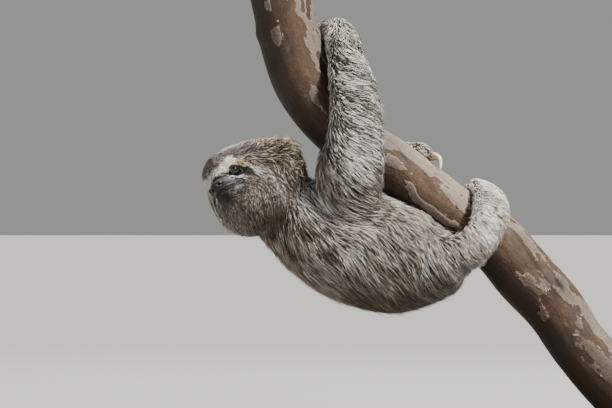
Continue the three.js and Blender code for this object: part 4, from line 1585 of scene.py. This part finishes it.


# %% [markdown]
# The bark's colour is layered as the bark is. Inner bark comes first, red-brown with ochre where it is
# freshly bared, with painted shade where it faces down. The pale outer plates lie over it, paler on the
# upper side as painted sunlight, cut off at a ragged edge with a thin light lip, then fine flecks. Painted
# shade darkens the bark towards both ends, and the knot, the furrow and the crack are darkest of all.
# The sawn ends show wood.

# %% Bark material
bark, tree, shader = new_material("flaking_smooth_bark", 0.72, 1.45, Specular_IOR_Level=0.35)
grain_at = add(tree, "ShaderNodeAttribute", {"attribute_name": "grain"}).outputs["Vector"]
plate_at, upper_at, sawn_at, marks_at, end_shade_at = (
    add(tree, "ShaderNodeAttribute", {"attribute_name": name}).outputs["Fac"]
    for name in ("plates", "upper_side", "sawn", "marks", "weathered"))


def grain_noise(size_mm, stretch, detail=4.0):
    """Noise drawn out along the branch; size_mm is its width across the grain."""
    scaled = add(tree, "ShaderNodeVectorMath", {"operation": "MULTIPLY"}, i0=grain_at,
                 i1=(1 / (size_mm * stretch), 1 / size_mm, 1 / size_mm))
    return add(tree, "ShaderNodeTexNoise", Vector=scaled.outputs["Vector"], Scale=1.0, Detail=detail,
               Roughness=0.6).outputs["Fac"]


def between(value, low, high, most=1.0):
    """A share that grows to its most as a value goes from low to high; 0 to 1 is taken as it is."""
    kind = "LINEAR" if (low, high) == (0, 1) else "SMOOTHSTEP"
    return add(tree, "ShaderNodeMapRange", {"interpolation_type": kind}, Value=value, From_Min=low,
               From_Max=high, To_Max=most).outputs["Result"]


def layered(under, layers):
    """Lays colours over one another: hex, the value it follows, from where, to where, how much of it."""
    for code, value, low, high, most in layers:
        under = add(tree, "ShaderNodeMix", {"data_type": "RGBA"}, i0=between(value, low, high, most),
                    i6=under, i7=rgba(code)).outputs[2]
    return under


def calculated(value, steps):
    """Takes a value through a row of sums: the operation and its second and third number."""
    for operation, second, third in steps:
        value = add(tree, "ShaderNodeMath", {"operation": operation}, i0=value, i1=second,
                    i2=third).outputs["Value"]
    return value


streaks = grain_noise(2.2, 7)
blotches = grain_noise(16, 1.8)
flecks = grain_noise(1.5, 1.3, detail=2.0)
ragged = [("MULTIPLY_ADD", 0.55, -0.275), ("ADD", plate_at, 0)]
edge_value = calculated(grain_noise(2.6, 1.6, detail=5.0), ragged)
inner_bark = layered(rgba("#43342a"), [
    ("#5c4838", blotches, 0.36, 0.66, 1.0),
    ("#70503a", grain_noise(24, 1.5), 0.54, 0.74, 0.8),
    ("#6b5b4e", grain_noise(6, 2.2), 0.55, 0.70, 0.6),
    ("#37291c", grain_noise(11, 1.7), 0.50, 0.66, 0.6),
    ("#8a6a4c", grain_noise(7, 3.0), 0.60, 0.74, 0.5),
    # painted shade on the underside
    ("#2b221b", upper_at, 0.05, -0.9, 1.0),
    ("#43352b", streaks, 0.50, 0.68, 0.7),
])
plate_tone = layered(rgba("#66594e"), [
    ("#7d7065", blotches, 0.35, 0.65, 1.0),
    # painted sunlight on the upper side
    ("#95887d", upper_at, 0.1, 0.9, 0.5),
    ("#50443a", streaks, 0.52, 0.70, 0.65),
    ("#5f4b3b", grain_noise(9, 2.0), 0.58, 0.70, 0.6),
])
on_plate = between(edge_value, 0.0, 0.11)
bark_mix = add(tree, "ShaderNodeMix", {"data_type": "RGBA"}, i0=on_plate, i6=inner_bark, i7=plate_tone)
lip = calculated(between(edge_value, 0.02, 0.09), [("MULTIPLY", between(edge_value, 0.20, 0.10), 0)])
bark_mix = layered(bark_mix.outputs[2], [
    ("#a3978d", lip, 0, 1, 0.45),
    ("#b5a99c", flecks, 0.62, 0.74, 0.08),
    ("#2c2019", flecks, 0.46, 0.30, 0.7),
    # painted shade towards both ends
    ("#24190c", end_shade_at, 0, 1, 0.68),
    ("#0b0705", marks_at, 0, 1, 0.96),
])
ring_at = add(tree, "ShaderNodeVectorMath", {"operation": "MULTIPLY"}, i0=grain_at, i1=(0, 1, 1))
ring_far = add(tree, "ShaderNodeVectorMath", {"operation": "LENGTH"}, i0=ring_at.outputs["Vector"])
rings = calculated(ring_far.outputs["Value"], [("ADD", blotches, 0), ("MULTIPLY", 3.4, 0), ("SINE", 0, 0)])
end_wood = layered(rgba("#b08a5e"), [("#8d673f", rings, -0.2, 0.9, 1.0)])
all_bark = add(tree, "ShaderNodeMix", {"data_type": "RGBA"}, i0=sawn_at, i6=bark_mix, i7=end_wood)
bark_height = calculated(flecks, [("MULTIPLY", 0.8, 0)])
for value, share in ((on_plate, 0.6), (streaks, 0.5)):
    bark_height = calculated(value, [("MULTIPLY_ADD", share, bark_height)])
relief = add(tree, "ShaderNodeBump", Strength=1.0, Distance=0.5 * MM, Height=bark_height)
worn = add(tree, "ShaderNodeMapRange", Value=blotches, From_Min=0.3, From_Max=0.7, To_Min=0.62, To_Max=0.85)
give(shader, Base_Color=all_bark.outputs[2], Normal=relief.outputs["Normal"],
     Roughness=worn.outputs["Result"])
bark_mesh.materials.append(bark)
branch = new_object("branch_bark", bark_mesh)
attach(branch, "root")
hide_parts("branch")


# %% [markdown]
# Loose flakes of the outer bark curl off here and there. They repeat over a surface, which is the work
# of Geometry Nodes: points are scattered over the bark, each gets a small bent scale turned along the
# branch, and size and turn vary with a fixed seed. The result is realized and turned into a plain mesh.

# %% Bark flakes with Geometry Nodes
FLAKES_ON_SQUARE_M = 2800.0
FLAKE_MM = (5.2, 2.6, 0.35)
FLAKE_SEED = 4
BRANCH_WAY = (0.72, 0.0, -0.69)

flake_mesh = bpy.data.meshes.new("flake_form")
steps = np.linspace(-0.5, 0.5, 5)
form = []
for layer_up in (0.0, 1.0):
    for u in steps:
        for v in (-0.5, 0.0, 0.5):
            taper = 1 - abs(u) ** 1.5 * 1.3
            curl = 0.9 * u * u * 4 * FLAKE_MM[2] + 0.25 * abs(v) * FLAKE_MM[2]
            place = (u * FLAKE_MM[0], v * FLAKE_MM[1] * taper, curl + layer_up * FLAKE_MM[2])
            form.append([c * MM for c in place])
faces = []
for i in range(4):
    for j in range(2):
        a = i * 3 + j
        faces.append((a, a + 1, a + 4, a + 3))
        faces.append((a + 15, a + 18, a + 19, a + 16))
for i in range(4):
    faces.append((i * 3, i * 3 + 3, i * 3 + 18, i * 3 + 15))
    faces.append((i * 3 + 2, i * 3 + 17, i * 3 + 20, i * 3 + 5))
for j in range(2):
    faces.append((j, j + 15, j + 16, j + 1))
    faces.append((12 + j, 13 + j, 28 + j, 27 + j))
flake_mesh.from_pydata(form, [], faces)
outward(flake_mesh)
flake_form = new_object("flake_form", flake_mesh)

flaking = bpy.data.node_groups.new("scatter_flakes", "GeometryNodeTree")
flaking.interface.new_socket("Geometry", in_out="INPUT", socket_type="NodeSocketGeometry")
density_socket = flaking.interface.new_socket("Flakes per square metre", in_out="INPUT",
                                              socket_type="NodeSocketFloat")
seed_socket = flaking.interface.new_socket("Seed", in_out="INPUT", socket_type="NodeSocketInt")
form_socket = flaking.interface.new_socket("Flake", in_out="INPUT", socket_type="NodeSocketObject")
finish_socket = flaking.interface.new_socket("Finish", in_out="INPUT", socket_type="NodeSocketMaterial")
flaking.interface.new_socket("Geometry", in_out="OUTPUT", socket_type="NodeSocketGeometry")
given = add(flaking, "NodeGroupInput")
plates_read = add(flaking, "GeometryNodeInputNamedAttribute", {"data_type": "FLOAT"}, Name="plates")
sawn_read = add(flaking, "GeometryNodeInputNamedAttribute", {"data_type": "FLOAT"}, Name="sawn")
near_edge = add(flaking, "FunctionNodeCompare", {"data_type": "FLOAT", "operation": "EQUAL"},
                i0=plates_read.outputs["Attribute"], i1=0.10, Epsilon=0.22)
not_sawn = add(flaking, "FunctionNodeCompare", {"data_type": "FLOAT", "operation": "LESS_THAN"},
               i0=sawn_read.outputs["Attribute"], i1=0.01)
chosen_places = add(flaking, "FunctionNodeBooleanMath", {"operation": "AND"}, i0=near_edge.outputs["Result"],
                    i1=not_sawn.outputs["Result"])
scattered = add(flaking, "GeometryNodeDistributePointsOnFaces", Mesh=given.outputs["Geometry"],
                Selection=chosen_places.outputs["Boolean"],
                Density=given.outputs["Flakes per square metre"], Seed=given.outputs["Seed"])
form_read = add(flaking, "GeometryNodeObjectInfo", Object=given.outputs["Flake"])
run = add(flaking, "FunctionNodeAlignRotationToVector", {"axis": "Z"}, Vector=scattered.outputs["Normal"])
run_along = add(flaking, "FunctionNodeAlignRotationToVector", {"axis": "X", "pivot_axis": "Z"},
                Rotation=run.outputs["Rotation"], Vector=BRANCH_WAY)
spin = add(flaking, "FunctionNodeRandomValue", {"data_type": "FLOAT"}, i2=-0.7, i3=0.7)
spin_axis = add(flaking, "ShaderNodeCombineXYZ", Z=spin.outputs[1])
turned = add(flaking, "FunctionNodeRotateRotation", {"rotation_space": "LOCAL"},
             Rotation=run_along.outputs["Rotation"], i1=spin_axis.outputs["Vector"])
size = add(flaking, "FunctionNodeRandomValue", {"data_type": "FLOAT_VECTOR"}, i0=(0.35, 0.35, 0.5),
           i1=(1.25, 1.1, 1.1))
placed = add(flaking, "GeometryNodeInstanceOnPoints", Points=scattered.outputs["Points"],
             Instance=form_read.outputs["Geometry"], Rotation=turned.outputs["Rotation"],
             Scale=size.outputs[0])
solidified = add(flaking, "GeometryNodeRealizeInstances", Geometry=placed.outputs["Instances"])
finished = add(flaking, "GeometryNodeSetMaterial", Geometry=solidified.outputs["Geometry"],
               Material=given.outputs["Finish"])
add(flaking, "NodeGroupOutput", Geometry=finished.outputs["Geometry"])

flake_finish, tree, shader = new_material("dry_bark_flake", 0.8, 1.45, Specular_IOR_Level=0.3)
place = add(tree, "ShaderNodeTexCoord").outputs["Object"]
tones = add(tree, "ShaderNodeTexNoise", Vector=place, Scale=1000 / 7, Detail=3.0)
dryness = add(tree, "ShaderNodeValToRGB", Fac=tones.outputs["Fac"])
set_bands(dryness.color_ramp, ((0.36, "#5d4b3e"), (0.66, "#8f8175")))
rasp = add(tree, "ShaderNodeTexNoise", Vector=place, Scale=1000 / 0.8, Detail=3.0)
relief = add(tree, "ShaderNodeBump", Strength=0.4, Distance=0.15 * MM, Height=rasp.outputs["Fac"])
give(shader, Base_Color=dryness.outputs["Color"], Normal=relief.outputs["Normal"])

flakes = new_object("bark_flakes", bark_mesh.copy())
scatter = flakes.modifiers.new("scatter", "NODES")
scatter.node_group = flaking
scatter[density_socket.identifier] = FLAKES_ON_SQUARE_M
scatter[seed_socket.identifier] = FLAKE_SEED
scatter[form_socket.identifier] = flake_form
scatter[finish_socket.identifier] = flake_finish
bake_modifiers(flakes)
bpy.data.objects.remove(flake_form)
flakes.data.materials.clear()
flakes.data.materials.append(flake_finish)
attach(flakes, "root")
print("flakes:", len(flakes.data.polygons) // len(faces), "of", len(faces), "faces each")


# %% [markdown]
# The stand is quiet on purpose. Its base is a slab of hardwood, dark stained and varnished satin, with
# grain that runs its length; the rods are ground steel with fine rings from the lathe. Their solids
# already have the right shape, so they stay and only get a finish.

# %% Stand finishes
stained, tree, shader = new_material("dark_stained_oak", 0.42, 1.5, Coat_Weight=0.3, Coat_Roughness=0.28)
place = add(tree, "ShaderNodeTexCoord").outputs["Object"]
# growth rings are about 3 mm apart and wander by a few millimetres over the slab
drawn = add(tree, "ShaderNodeMapping", Vector=place, Scale=(1.4, 22.0, 22.0), Rotation=(0.0, 0.0, 0.04))
figure = add(tree, "ShaderNodeTexWave", {"wave_type": "BANDS", "bands_direction": "Y"},
             Vector=drawn.outputs["Vector"], Scale=3.2, Distortion=7.0, Detail=3.0, Detail_Scale=1.2)
pore_map = add(tree, "ShaderNodeMapping", Vector=place, Scale=(90.0, 1400.0, 1400.0))
pores = add(tree, "ShaderNodeTexNoise", Vector=pore_map.outputs["Vector"], Scale=1.0, Detail=3.0,
            Roughness=0.7)
warm = add(tree, "ShaderNodeMix", {"data_type": "RGBA"}, i0=figure.outputs["Fac"], i6=rgba("#33261c"),
           i7=rgba("#5b4534"))
pore_share = add(tree, "ShaderNodeMapRange", Value=pores.outputs["Fac"], From_Min=0.55, From_Max=0.7)
pored = add(tree, "ShaderNodeMix", {"data_type": "RGBA"}, i0=pore_share.outputs["Result"],
            i6=warm.outputs[2], i7=rgba("#1d1510"))
relief = add(tree, "ShaderNodeBump", Strength=0.25, Distance=0.2 * MM, Height=pores.outputs["Fac"])
give(shader, Base_Color=pored.outputs[2], Normal=relief.outputs["Normal"])

steel, tree, shader = new_material("ground_steel", 0.3, Metallic=1.0)
place = add(tree, "ShaderNodeTexCoord").outputs["Object"]
turned_marks = add(tree, "ShaderNodeMapping", Vector=place, Scale=(60.0, 60.0, 4200.0))
lathe = add(tree, "ShaderNodeTexNoise", Vector=turned_marks.outputs["Vector"], Scale=1.0, Detail=4.0)
bright = add(tree, "ShaderNodeMix", {"data_type": "RGBA"}, i0=lathe.outputs["Fac"], i6=rgba("#a9aaab"),
             i7=rgba("#c6c7c8"))
polish = add(tree, "ShaderNodeMapRange", Value=lathe.outputs["Fac"], To_Min=0.22, To_Max=0.4)
give(shader, Base_Color=bright.outputs[2], Roughness=polish.outputs["Result"])

for node, finish in (("stand_base", stained), ("stand_rod_1", steel), ("stand_rod_2", steel)):
    bpy.data.objects[node].material_slots[0].material = finish
print("stand finished")


# %% [markdown]
# The last step takes the box of everything shown, as was done for the solids at the start, and prints
# how much larger it is than theirs.

# %% Sizes and finish
visual_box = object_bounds()
cad_size, visual_size = (np.subtract(box[1], box[0]) for box in (cad_box, visual_box))
grown = ((visual_size - cad_size) / MM).round(1).tolist()
print("visual box is larger by", grown, "mm")
